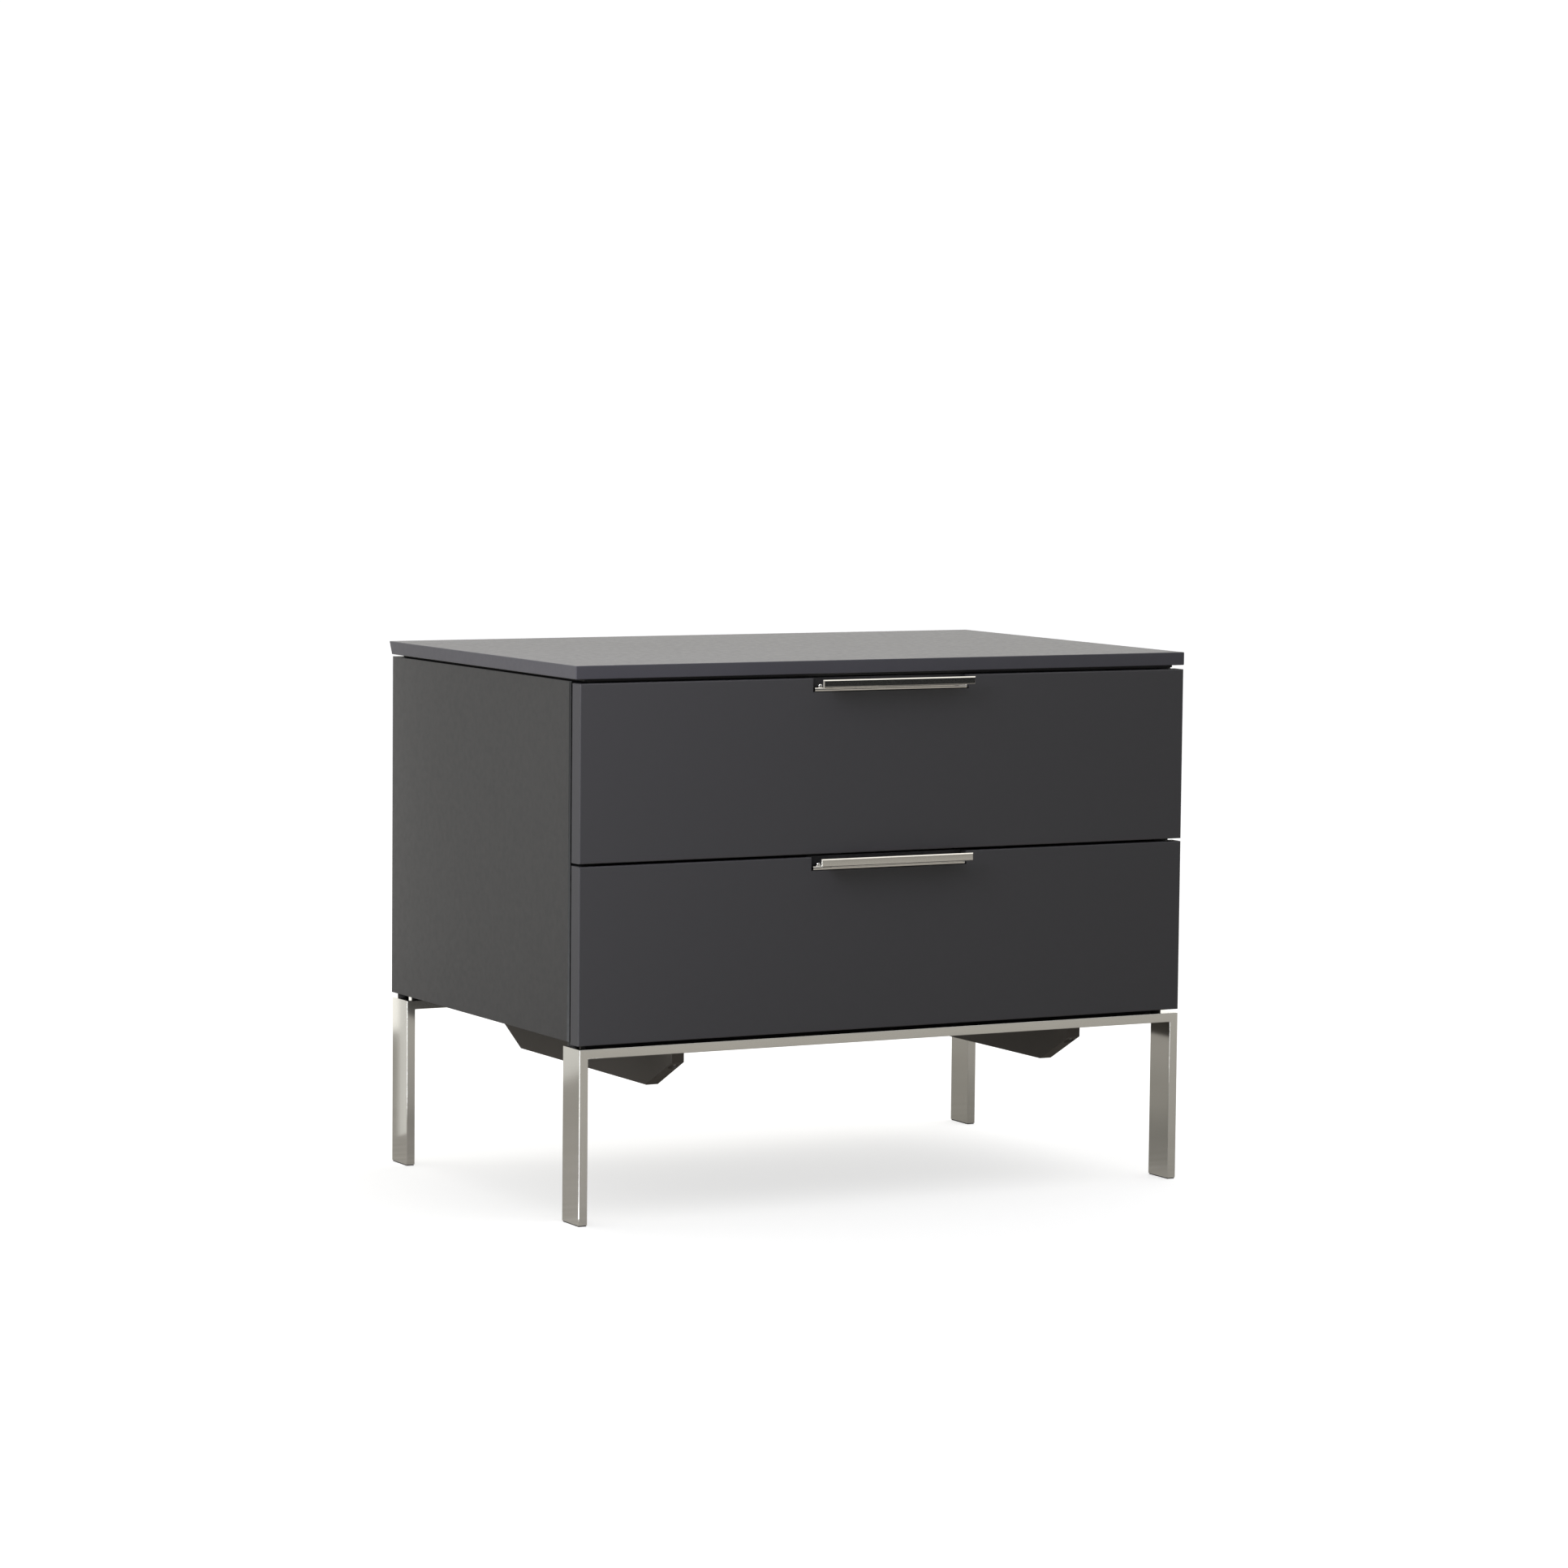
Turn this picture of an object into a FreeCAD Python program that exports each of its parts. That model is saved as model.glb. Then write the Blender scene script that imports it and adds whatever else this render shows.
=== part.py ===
"""Two-drawer nightstand on a polished flat-bar frame, as a parametric document.

Millimetres, +Z up. The origin is on the floor, under the middle of the whole piece: X runs along the
width, -Y is the front where the drawers open, and the drawer faces lie in one plane.
"""

import FreeCAD
import Part

import os

import Sketcher

Vector = FreeCAD.Vector

# The driving dimensions, in millimetres and degrees. Each becomes one aliased cell of the sheet.
DIMENSIONS = {
    # whole piece
    "overall_depth": 400, "overall_height": 471,
    "handle_reach": 15, "back_overhang": 2,
    # top panel and the dark spacer under it
    "top_width": 600, "top_thick": 11.5, "top_setback": 3, "top_back_slope": 5.5, "top_round": 0.8,
    "side_gap": 2, "spacer_recess": 7.5, "front_top_gap": 3.5,
    # carcass
    "body_width": 595, "board_thick": 16, "side_bottom": 154, "front_clearance": 5,
    "side_chamfer": 1.5, "edge_round": 0.6, "back_thick": 6, "back_inset": 1,
    # drawer fronts
    "front_thick": 15, "front_height": 150.5, "front_reveal": 2.5, "front_round": 1,
    "notch_width": 154, "notch_height": 11.8, "notch_depth": 11, "overcut": 1,
    # drawer boxes
    "slide_space": 13, "box_board": 12, "box_length": 330, "box_height": 100, "box_lift": 23.5,
    "bottom_thick": 6, "bottom_lift": 10, "groove_depth": 6, "fit": 0.2,
    # handles
    "handle_length": 150, "plate_depth": 10.5, "plate_thick": 4,
    "web_thick": 1.4, "web_inset": 10, "web_overlap": 0.5, "web_behind": 2,
    "grip_thick": 1.8, "grip_drop": 0.5, "grip_lap": 0.4, "grip_bevel": 0.45,
    "handle_screw_inset": 6.3, "handle_screw_back": 3.4,
    # drawer slides
    "slide_length": 350, "slide_start": 22, "sheet_steel": 1.2,
    "outer_rail_tall": 45, "outer_rail_wide": 10,
    "middle_rail_tall": 41, "middle_rail_wide": 6.5, "middle_rail_in": 2.5,
    "inner_rail_tall": 34, "inner_rail_wide": 8,
    # leg frames and mounting boards
    "bar_thick": 8, "bar_depth": 32, "frame_top": 149.5, "frame_inset": 1, "frame_forward": 1,
    "bar_round": 0.9, "glide_thick": 1, "glide_margin": 1,
    "mount_thick": 12, "mount_outer": 203, "mount_bottom": 106.5,
    "mount_low_front": 61, "mount_low_back": 310.5, "mount_end_front": 13, "mount_end_back": 365,
    "mount_end_rise": 25, "mount_gap": 0.3,
    # black spacers and bearing strips between the frames and the carcass
    "spacer_wide": 10, "spacer_front": 25.5, "spacer_back": 8,
    "strip_deep": 9, "strip_gap": 0.4, "rear_strip_in": 16,
    # cam fittings and dowels
    "clearance": 0.1, "spare": 0.5, "cam_inset": 24, "cam_width": 14.8, "cam_deep": 12,
    "cam_bolt_thick": 6.8, "cam_bolt_deep": 11.5, "cam_pin_thick": 5.5, "cam_pin_hole": 6.5,
    "dowel_thick": 8, "dowel_in_side": 9.8, "dowel_in_board": 20,
    "cam_row_front": 60, "cam_row_back": 345, "dowel_row_front": 95, "dowel_row_back": 310,
    # pan-head screws
    "screw_thick": 4, "screw_hole": 4.4,
    "head_flat": 5, "head_wide": 8, "head_crown": 1, "head_rim": 1.5,
    "top_screw_out": 200, "top_screw_front": 70, "top_screw_back": 320, "top_screw_deep": 7.5,
    "fixing_out": 200, "fixing_low": 28, "fixing_high": 78, "fixing_deep": 11,
    "frame_screw_front": 22, "frame_screw_back": 358, "frame_screw_deep": 6,
    "front_seat": 131, "rear_seat": 136,
    # long screws of the mounting boards
    "counterbore_wide": 9, "counterbore_deep": 6, "long_head_wide": 8.5, "long_head_tall": 3,
    "long_screw_thick": 5, "long_screw_deep": 12, "long_screw_front": 110, "long_screw_back": 260,
    # thin screws of the back panel and the slides
    "thin_screw": 3.5, "back_head_wide": 6.6, "back_head_tall": 1.8, "back_screw_long": 22,
    "back_screw_inner": 90, "back_screw_outer": 230,
    "slide_head_wide": 6, "carcass_screw_deep": 12, "box_screw_deep": 10,
    "carcass_row_front": 59, "carcass_row_middle": 187, "carcass_row_back": 332,
    "box_row_front": 56, "box_row_middle": 181, "box_row_back": 306,
    # handle screws
    "small_screw": 2.5, "small_screw_long": 15, "small_hole_deep": 12,
    "dome_flat": 2, "dome_shoulder": 3.6, "dome_wide": 4.4,
    "dome_crown": 0.8, "dome_slope": 0.9, "dome_rim": 1.5,
    # bumpers
    "bumper_out": 250, "bumper_wide": 8, "bumper_gap": 0.3,
}

doc = FreeCAD.newDocument("Nightstand")
sheet = doc.addObject("Spreadsheet::Sheet", "sizes")
for row, (alias, number) in enumerate(DIMENSIONS.items(), start=1):
    sheet.set(f"A{row}", alias)
    sheet.set(f"B{row}", str(number))
    sheet.setAlias(f"B{row}", alias)
doc.recompute()

SUBPARTS = []

# Two places closer than this, in millimetres, are the same place.
TOUCHING = 0.01


def value(expression):
    """What an expression gives now, in millimetres."""
    return float(sheet.evalExpression(expression))


# Places that many pieces share, as expressions. Depths are counted back from the drawer faces.
HALF_DEPTH = "sizes.overall_depth / 2"
FACE = f"(sizes.handle_reach - {HALF_DEPTH})"
BODY_BACK = f"({HALF_DEPTH} - sizes.back_overhang)"
BODY_SIDE = "(sizes.body_width / 2)"
INNER_SIDE = f"({BODY_SIDE} - sizes.board_thick)"
SLAB_BOTTOM = "(sizes.overall_height - sizes.top_thick)"
SIDE_TOP = f"({SLAB_BOTTOM} - sizes.side_gap)"
TOP_BOARD_BOTTOM = f"({SIDE_TOP} - sizes.board_thick)"
BOTTOM_BOARD_TOP = "(sizes.side_bottom + sizes.board_thick)"
CARCASS_FRONT = f"({FACE} + sizes.front_thick + sizes.front_clearance)"
BACK_PANEL_BACK = f"({BODY_BACK} - sizes.back_inset)"
BACK_PANEL_FRONT = f"({BACK_PANEL_BACK} - sizes.back_thick)"
UPPER_TOP = f"({SLAB_BOTTOM} - sizes.front_top_gap)"
LOWER_TOP = f"({UPPER_TOP} - sizes.front_height - sizes.front_reveal)"
BOX_SIDE = f"({INNER_SIDE} - sizes.slide_space)"
BOX_INNER = f"({BOX_SIDE} - sizes.box_board)"
BOX_FRONT = f"({FACE} + sizes.front_thick)"
BOX_BACK = f"({BOX_FRONT} + sizes.box_length)"
RAIL_BOTTOM = "(sizes.frame_top - sizes.bar_thick)"
FRAME_FRONT = f"({FACE} - sizes.frame_forward)"
FRAME_SIDE = f"({BODY_SIDE} - sizes.frame_inset)"


def behind_face(distance):
    """The Y of a place that far behind the drawer faces."""
    return f"({FACE} + {distance})"


def sided(side, expression):
    """The same X on the left (-1) or right (1)."""
    return f"({side} * {expression})"


# ---------------------------------------------------------------- PartDesign helpers


def new_body(label):
    body = doc.addObject("PartDesign::Body", label)
    body.Label = label
    SUBPARTS.append(body)
    return body


def origin_plane(body, role):
    return next(f for f in body.Origin.OriginFeatures if f.Role == role)


def sketch_on(body, role, level):
    """A sketch on one of the body's own planes, lifted along that plane's normal."""
    sketch = body.newObject("Sketcher::SketchObject", f"{body.Name}_sketch")
    sketch.AttachmentSupport = [(origin_plane(body, role), "")]
    sketch.MapMode = "FlatFace"
    sketch.setExpression("AttachmentOffset.Base.z", level)
    return sketch


def hold(sketch, kind, geometry, corner, name, expression):
    """One driving dimension of a sketch, bound to an expression."""
    number = value(expression)
    if kind == "Diameter":
        index = sketch.addConstraint(Sketcher.Constraint(kind, geometry, number))
    else:
        index = sketch.addConstraint(Sketcher.Constraint(kind, -1, 1, geometry, corner, number))
    sketch.renameConstraint(index, name)
    sketch.setExpression(f"Constraints.{name}", expression)


def outline(body, role, level, corners):
    """A closed outline of straight edges through corners given as expressions."""
    sketch = sketch_on(body, role, level)
    points = [Vector(value(across), value(up), 0) for across, up in corners]
    for index, start in enumerate(points):
        end = points[(index + 1) % len(points)]
        sketch.addGeometry(Part.LineSegment(start, end), False)
    for index in range(len(points)):
        following = (index + 1) % len(points)
        sketch.addConstraint(Sketcher.Constraint("Coincident", index, 2, following, 1))
    for index, (across, up) in enumerate(corners):
        hold(sketch, "DistanceX", index, 1, f"across{index}", across)
        hold(sketch, "DistanceY", index, 1, f"up{index}", up)
    return sketch


def pad(body, sketch, length, midplane=False):
    feature = body.newObject("PartDesign::Pad", f"{body.Name}_pad")
    feature.Profile = sketch
    feature.setExpression("Length", length)
    feature.Midplane = midplane
    sketch.Visibility = False
    return feature


def pocket(body, sketch, length, forward):
    """Cuts along the sketch's normal when forward is true, against it otherwise, and checks that it cut."""
    doc.recompute()
    before = body.Shape.Volume
    feature = body.newObject("PartDesign::Pocket", f"{body.Name}_pocket")
    feature.Profile = sketch
    feature.setExpression("Length", length)
    feature.Reversed = forward
    sketch.Visibility = False
    doc.recompute()
    if body.Shape.Volume >= before - TOUCHING:
        raise RuntimeError(f"a pocket of {body.Label} cuts nothing")
    return feature


def drill(body, role, level, centres, diameter, depth, forward):
    """Round holes of one size from one level of a body."""
    sketch = sketch_on(body, role, level)
    for index, (across, up) in enumerate(centres):
        centre = Vector(value(across), value(up), 0)
        sketch.addGeometry(Part.Circle(centre, Vector(0, 0, 1), value(diameter) / 2), False)
        hold(sketch, "DistanceX", index, 3, f"across{index}", across)
        hold(sketch, "DistanceY", index, 3, f"up{index}", up)
        hold(sketch, "Diameter", index, None, f"wide{index}", diameter)
    return pocket(body, sketch, depth, forward)


def rectangle(low, high):
    return [(low[0], low[1]), (high[0], low[1]), (high[0], high[1]), (low[0], high[1])]


def board(label, across, depth, up):
    """A flat board between two X, two Y and two Z places."""
    body = new_body(label)
    corners = rectangle((across[0], depth[0]), (across[1], depth[1]))
    pad(body, outline(body, "XY_Plane", up[0], corners), f"{up[1]} - {up[0]}")
    return body


def chosen_edges(feature, test):
    """Names of the edges of a feature for which the test of the edge holds."""
    doc.recompute()
    return [f"Edge{i}" for i, edge in enumerate(feature.Shape.Edges, start=1) if test(edge)]


def soften(body, kind, size, test):
    """A fillet or chamfer on the chosen edges of the body's tip."""
    base = body.Tip
    names = chosen_edges(base, test)
    if not names:
        raise RuntimeError(f"no edge of {body.Label} to soften")
    feature = body.newObject(f"PartDesign::{kind}", f"{body.Name}_{kind.lower()}")
    feature.Base = (base, names)
    feature.setExpression("Radius" if kind == "Fillet" else "Size", size)
    return feature


def runs_along(edge, axis):
    """Whether a straight edge runs along one axis, 0 for X, 1 for Y and 2 for Z."""
    if len(edge.Vertexes) != 2:
        return False
    step = edge.Vertexes[1].Point - edge.Vertexes[0].Point
    return abs(step[axis]) > 0.999 * step.Length


def middle(edge):
    return edge.BoundBox.Center


# ---------------------------------------------------------------- fastener helpers

TURNS = {
    "+x": (Vector(1, 0, 0), FreeCAD.Rotation(Vector(0, 1, 0), 90)),
    "-x": (Vector(-1, 0, 0), FreeCAD.Rotation(Vector(0, 1, 0), -90)),
    "+y": (Vector(0, 1, 0), FreeCAD.Rotation(Vector(1, 0, 0), -90)),
    "-y": (Vector(0, -1, 0), FreeCAD.Rotation(Vector(1, 0, 0), 90)),
    "+z": (Vector(0, 0, 1), FreeCAD.Rotation()),
    "-z": (Vector(0, 0, -1), FreeCAD.Rotation(Vector(1, 0, 0), 180)),
}


def place_along(solid, start, heading, run):
    """Puts a solid of revolution with its base a run past the start, pointing along the heading."""
    direction, turn = TURNS[heading]
    solid.Placement = FreeCAD.Placement(Vector(), turn)
    for letter, base, part in zip("xyz", start, direction):
        solid.setExpression(f"Placement.Base.{letter}", f"{base} + {int(part)} * ({run})")


def turned(label, start, heading, stages):
    """Coaxial cylinders and cones in one piece: stages of (width, length) or (width, end width, length)."""
    pieces = []
    run = "0"
    for stage in stages:
        length = stage[-1]
        if len(stage) == 2:
            piece = doc.addObject("Part::Cylinder", f"{label}_round")
            piece.setExpression("Radius", f"({stage[0]}) / 2")
        else:
            piece = doc.addObject("Part::Cone", f"{label}_cone")
            piece.setExpression("Radius1", f"({stage[0]}) / 2")
            piece.setExpression("Radius2", f"({stage[1]}) / 2")
        piece.setExpression("Height", length)
        place_along(piece, start, heading, run)
        pieces.append(piece)
        run = f"{run} + {length}"
    if len(pieces) == 1:
        return pieces[0]
    whole = doc.addObject("Part::MultiFuse", f"{label}_piece")
    whole.Shapes = pieces
    whole.Refine = True
    return whole


def group(label, pieces):
    """Separate solids of one kind, kept together as one sub-part."""
    compound = doc.addObject("Part::Compound", label)
    compound.Label = label
    compound.Links = pieces
    SUBPARTS.append(compound)
    return compound


def loose(width):
    """The hole for a round piece of that width."""
    return f"{width} + sizes.clearance"


# ---------------------------------------------------------------- places of the fasteners

TOP_SCREWS = [
    (sided(side, "sizes.top_screw_out"), behind_face(f"sizes.top_screw_{row}"))
    for side in (-1, 1) for row in ("front", "back")
]
CAM_ROWS = [behind_face("sizes.cam_row_front"), behind_face("sizes.cam_row_back")]
DOWEL_ROWS = [behind_face("sizes.dowel_row_front"), behind_face("sizes.dowel_row_back")]
TOP_JOINT = f"({SIDE_TOP} - sizes.board_thick / 2)"
BOTTOM_JOINT = "(sizes.side_bottom + sizes.board_thick / 2)"
BACK_SCREW_COLUMNS = [
    sided(side, f"sizes.back_screw_{place}") for side in (-1, 1) for place in ("inner", "outer")
]
CARCASS_SCREW_ROWS = [behind_face(f"sizes.carcass_row_{place}") for place in ("front", "middle", "back")]
BOX_SCREW_ROWS = [behind_face(f"sizes.box_row_{place}") for place in ("front", "middle", "back")]
MOUNT_MIDDLE = "(sizes.mount_outer - sizes.mount_thick / 2)"
MOUNT_SCREW_ROWS = [behind_face("sizes.long_screw_front"), behind_face("sizes.long_screw_back")]
FRAME_SCREWS = {
    "front": (behind_face("sizes.frame_screw_front"), "sizes.front_seat"),
    "rear": (behind_face("sizes.frame_screw_back"), "sizes.rear_seat"),
}
FIXING_COLUMNS = [sided(side, "sizes.fixing_out") for side in (-1, 1)]
BUMPER_COLUMNS = [sided(side, "sizes.bumper_out") for side in (-1, 1)]
HANDLE_SCREW_OUT = "(sizes.handle_length / 2 - sizes.handle_screw_inset)"
HANDLE_SCREWS = [
    (sided(side, HANDLE_SCREW_OUT), behind_face("sizes.handle_screw_back")) for side in (-1, 1)
]
PAN_HEAD = [
    ("sizes.head_flat", "sizes.head_wide", "sizes.head_crown"),
    ("sizes.head_wide", "sizes.head_rim"),
]
PAN_HEAD_TALL = "(sizes.head_crown + sizes.head_rim)"
THIN_HOLE = "(sizes.thin_screw + sizes.clearance)"
PAN_SCREW_HOLE = "(sizes.screw_thick + sizes.clearance)"
SMALL_HOLE = "(sizes.small_screw + sizes.clearance)"
LONG_SCREW_HOLE = "(sizes.long_screw_thick + sizes.clearance)"
DRAWERS = {"upper": UPPER_TOP, "lower": LOWER_TOP}
SIDES = {"left": -1, "right": 1}


def box_base(front_top):
    return f"({front_top} - sizes.front_height + sizes.box_lift)"


def slide_middle(front_top):
    return f"({box_base(front_top)} + sizes.box_height / 2)"


# ---------------------------------------------------------------- top and carcass


def make_top_panel():
    """Thin lacquered slab whose back edge slopes in under itself."""
    body = new_body("top_panel")
    front = behind_face("sizes.top_setback")
    corners = [
        (front, SLAB_BOTTOM),
        (f"{HALF_DEPTH} - sizes.top_back_slope", SLAB_BOTTOM),
        (HALF_DEPTH, "sizes.overall_height"),
        (front, "sizes.overall_height"),
    ]
    pad(body, outline(body, "YZ_Plane", "0", corners), "sizes.top_width", midplane=True)
    back = value(HALF_DEPTH)
    soften(body, "Fillet", "sizes.top_round", lambda edge: middle(edge).y < back - TOUCHING)
    drill(body, "XY_Plane", SLAB_BOTTOM, TOP_SCREWS, PAN_SCREW_HOLE,
          "sizes.top_screw_deep + sizes.spare", True)


def make_shadow_spacer():
    """Dark sheet that lifts the top panel and leaves a shadow gap all round."""
    inset = "sizes.spacer_recess"
    body = board(
        "shadow_spacer",
        (f"({inset} - {BODY_SIDE})", f"({BODY_SIDE} - {inset})"),
        (behind_face(inset), f"({BODY_BACK} - {inset})"),
        (SIDE_TOP, SLAB_BOTTOM),
    )
    drill(body, "XY_Plane", SIDE_TOP, TOP_SCREWS, "sizes.screw_hole", "sizes.side_gap", True)


def make_side_panel(name, side):
    low, high = sorted((sided(side, BODY_SIDE), sided(side, INNER_SIDE)), key=value)
    body = board(f"{name}_side_panel", (low, high), (CARCASS_FRONT, BODY_BACK),
                 ("sizes.side_bottom", SIDE_TOP))
    outside = value(sided(side, BODY_SIDE))
    front = value(CARCASS_FRONT)

    def outer(edge):
        return abs(middle(edge).x - outside) < TOUCHING

    soften(body, "Chamfer", "sizes.side_chamfer",
           lambda edge: outer(edge) and runs_along(edge, 2) and middle(edge).y < front + TOUCHING)
    soften(body, "Fillet", "sizes.edge_round",
           lambda edge: outer(edge) and not (runs_along(edge, 2) and middle(edge).y < 0))
    inner = sided(side, INNER_SIDE)
    outward = side > 0
    joints = (TOP_JOINT, BOTTOM_JOINT)
    cams = [(row, joint) for row in CAM_ROWS for joint in joints]
    dowels = [(row, joint) for row in DOWEL_ROWS for joint in joints]
    slides = [(row, slide_middle(top)) for row in CARCASS_SCREW_ROWS for top in DRAWERS.values()]
    drill(body, "YZ_Plane", inner, cams, loose("sizes.cam_bolt_thick"),
          "sizes.cam_bolt_deep + sizes.spare", outward)
    drill(body, "YZ_Plane", inner, dowels, loose("sizes.dowel_thick"),
          "sizes.dowel_in_side + sizes.spare", outward)
    drill(body, "YZ_Plane", inner, slides, THIN_HOLE, "sizes.carcass_screw_deep + sizes.spare", outward)


def drill_board_ends(body, joint):
    """Holes for the cam bolts and dowels in the two ends of a top or bottom board."""
    for side in SIDES.values():
        end = sided(side, INNER_SIDE)
        inward = side < 0
        drill(body, "YZ_Plane", end, [(row, joint) for row in CAM_ROWS],
              "sizes.cam_pin_hole", "sizes.cam_inset", inward)
        drill(body, "YZ_Plane", end, [(row, joint) for row in DOWEL_ROWS],
              loose("sizes.dowel_thick"), "sizes.dowel_in_board + sizes.spare", inward)


def drill_board_back(body, joint):
    """Holes for the back panel's screws in the back edge of a board."""
    holes = [(column, joint) for column in BACK_SCREW_COLUMNS]
    depth = "sizes.back_head_tall + sizes.back_screw_long - sizes.back_thick + sizes.spare"
    drill(body, "XZ_Plane", f"-{BACK_PANEL_FRONT}", holes, THIN_HOLE, depth, True)


def cam_centres():
    cam_line = f"({INNER_SIDE} - sizes.cam_inset)"
    return [(sided(side, cam_line), row) for side in SIDES.values() for row in CAM_ROWS]


def make_carcass_top():
    body = board(
        "carcass_top",
        (sided(-1, INNER_SIDE), INNER_SIDE),
        (CARCASS_FRONT, BACK_PANEL_FRONT),
        (TOP_BOARD_BOTTOM, SIDE_TOP),
    )
    drill_board_ends(body, TOP_JOINT)
    drill(body, "XY_Plane", SIDE_TOP, cam_centres(), loose("sizes.cam_width"),
          "sizes.cam_deep + sizes.spare", False)
    drill(body, "XY_Plane", SIDE_TOP, TOP_SCREWS, "sizes.screw_hole", "sizes.board_thick", False)
    drill_board_back(body, TOP_JOINT)


def make_carcass_bottom():
    body = board(
        "carcass_bottom",
        (sided(-1, INNER_SIDE), INNER_SIDE),
        (CARCASS_FRONT, BACK_PANEL_FRONT),
        ("sizes.side_bottom", BOTTOM_BOARD_TOP),
    )
    drill_board_ends(body, BOTTOM_JOINT)
    drill(body, "XY_Plane", "sizes.side_bottom", cam_centres(), loose("sizes.cam_width"),
          "sizes.cam_deep + sizes.spare", True)
    screws = [(sided(side, MOUNT_MIDDLE), row) for side in SIDES.values() for row in MOUNT_SCREW_ROWS]
    drill(body, "XY_Plane", "sizes.side_bottom", screws, LONG_SCREW_HOLE,
          "sizes.long_screw_deep + sizes.spare", True)
    drill_board_back(body, BOTTOM_JOINT)


def make_back_panel():
    body = board(
        "back_panel",
        (f"(sizes.fit - {INNER_SIDE})", f"({INNER_SIDE} - sizes.fit)"),
        (BACK_PANEL_FRONT, BACK_PANEL_BACK),
        ("sizes.side_bottom", SIDE_TOP),
    )
    holes = [(column, joint) for column in BACK_SCREW_COLUMNS for joint in (TOP_JOINT, BOTTOM_JOINT)]
    drill(body, "XZ_Plane", f"-{BACK_PANEL_BACK}", holes, THIN_HOLE, "sizes.back_thick", True)
    drill(body, "XZ_Plane", f"-{BACK_PANEL_BACK}", holes, loose("sizes.back_head_wide"),
          "sizes.back_head_tall + sizes.fit", True)


def make_carcass_fasteners():
    cams, bolts, dowels = [], [], []
    for side in SIDES.values():
        inward = "+x" if side < 0 else "-x"
        cam_x = sided(side, f"({INNER_SIDE} - sizes.cam_inset)")
        bolt_x = sided(side, f"({INNER_SIDE} + sizes.cam_bolt_deep)")
        dowel_x = sided(side, f"({INNER_SIDE} + sizes.dowel_in_side)")
        pin = "sizes.cam_inset - sizes.cam_width / 2 - sizes.clearance"
        faces = ((TOP_JOINT, SIDE_TOP, "-z"), (BOTTOM_JOINT, "sizes.side_bottom", "+z"))
        for joint, face, heading in faces:
            for row in CAM_ROWS:
                cams.append(turned("cam", (cam_x, row, face), heading,
                                   [("sizes.cam_width", "sizes.cam_deep")]))
                stages = [("sizes.cam_bolt_thick", "sizes.cam_bolt_deep"), ("sizes.cam_pin_thick", pin)]
                bolts.append(turned("cam_bolt", (bolt_x, row, joint), inward, stages))
            for row in DOWEL_ROWS:
                length = "sizes.dowel_in_side + sizes.dowel_in_board"
                dowels.append(turned("dowel", (dowel_x, row, joint), inward,
                                     [("sizes.dowel_thick", length)]))
    group("cam_locks", cams)
    group("cam_bolts", bolts)
    group("carcass_dowels", dowels)

    group("top_panel_screws", [
        turned("top_screw", (x, y, f"({TOP_BOARD_BOTTOM} - {PAN_HEAD_TALL})"), "+z",
               [*PAN_HEAD,
                ("sizes.screw_thick", "sizes.board_thick + sizes.side_gap + sizes.top_screw_deep")])
        for x, y in TOP_SCREWS
    ])
    group("back_panel_screws", [
        turned("back_screw", (column, BACK_PANEL_BACK, joint), "-y",
               [("sizes.back_head_wide", "sizes.back_head_tall"),
                ("sizes.thin_screw", "sizes.back_screw_long")])
        for column in BACK_SCREW_COLUMNS for joint in (TOP_JOINT, BOTTOM_JOINT)
    ])


# ---------------------------------------------------------------- leg frames


def make_mounting_board(name, side):
    """Upright board under the carcass, cut back towards both ends, with a tongue under each frame rail."""
    body = new_body(f"{name}_mounting_board")
    slope = "sizes.mount_end_rise / (sizes.mount_low_front - sizes.mount_end_front)"
    back_rise = f"(sizes.mount_end_back - sizes.mount_low_back) * {slope}"
    front_rail_back = f"({FRAME_FRONT} + sizes.bar_depth + sizes.mount_gap)"
    rear_rail_front = f"({BODY_BACK} - sizes.bar_depth - sizes.mount_gap)"
    corners = [
        (behind_face("sizes.mount_end_front"), "sizes.mount_bottom + sizes.mount_end_rise"),
        (behind_face("sizes.mount_low_front"), "sizes.mount_bottom"),
        (behind_face("sizes.mount_low_back"), "sizes.mount_bottom"),
        (behind_face("sizes.mount_end_back"), f"sizes.mount_bottom + {back_rise}"),
        (behind_face("sizes.mount_end_back"), RAIL_BOTTOM),
        (rear_rail_front, RAIL_BOTTOM),
        (rear_rail_front, "sizes.side_bottom"),
        (front_rail_back, "sizes.side_bottom"),
        (front_rail_back, RAIL_BOTTOM),
        (behind_face("sizes.mount_end_front"), RAIL_BOTTOM),
    ]
    near = min(sided(side, "sizes.mount_outer"), sided(side, "(sizes.mount_outer - sizes.mount_thick)"),
               key=value)
    pad(body, outline(body, "YZ_Plane", near, corners), "sizes.mount_thick")
    soften(body, "Fillet", "sizes.edge_round",
           lambda edge: not runs_along(edge, 0) and middle(edge).z < value(RAIL_BOTTOM) - TOUCHING)
    centre = sided(side, MOUNT_MIDDLE)
    for row, seat in FRAME_SCREWS.values():
        hole = [(centre, row)]
        drill(body, "XY_Plane", "sizes.mount_bottom", hole, "sizes.counterbore_wide",
              f"{seat} - sizes.mount_bottom", True)
        drill(body, "XY_Plane", seat, hole, "sizes.screw_hole", f"{RAIL_BOTTOM} - {seat}", True)
    long_holes = [(centre, row) for row in MOUNT_SCREW_ROWS]
    drill(body, "XY_Plane", "sizes.mount_bottom", long_holes, "sizes.counterbore_wide",
          "sizes.counterbore_deep", True)
    drill(body, "XY_Plane", "sizes.mount_bottom", long_holes, LONG_SCREW_HOLE,
          "sizes.side_bottom - sizes.mount_bottom", True)


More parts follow.
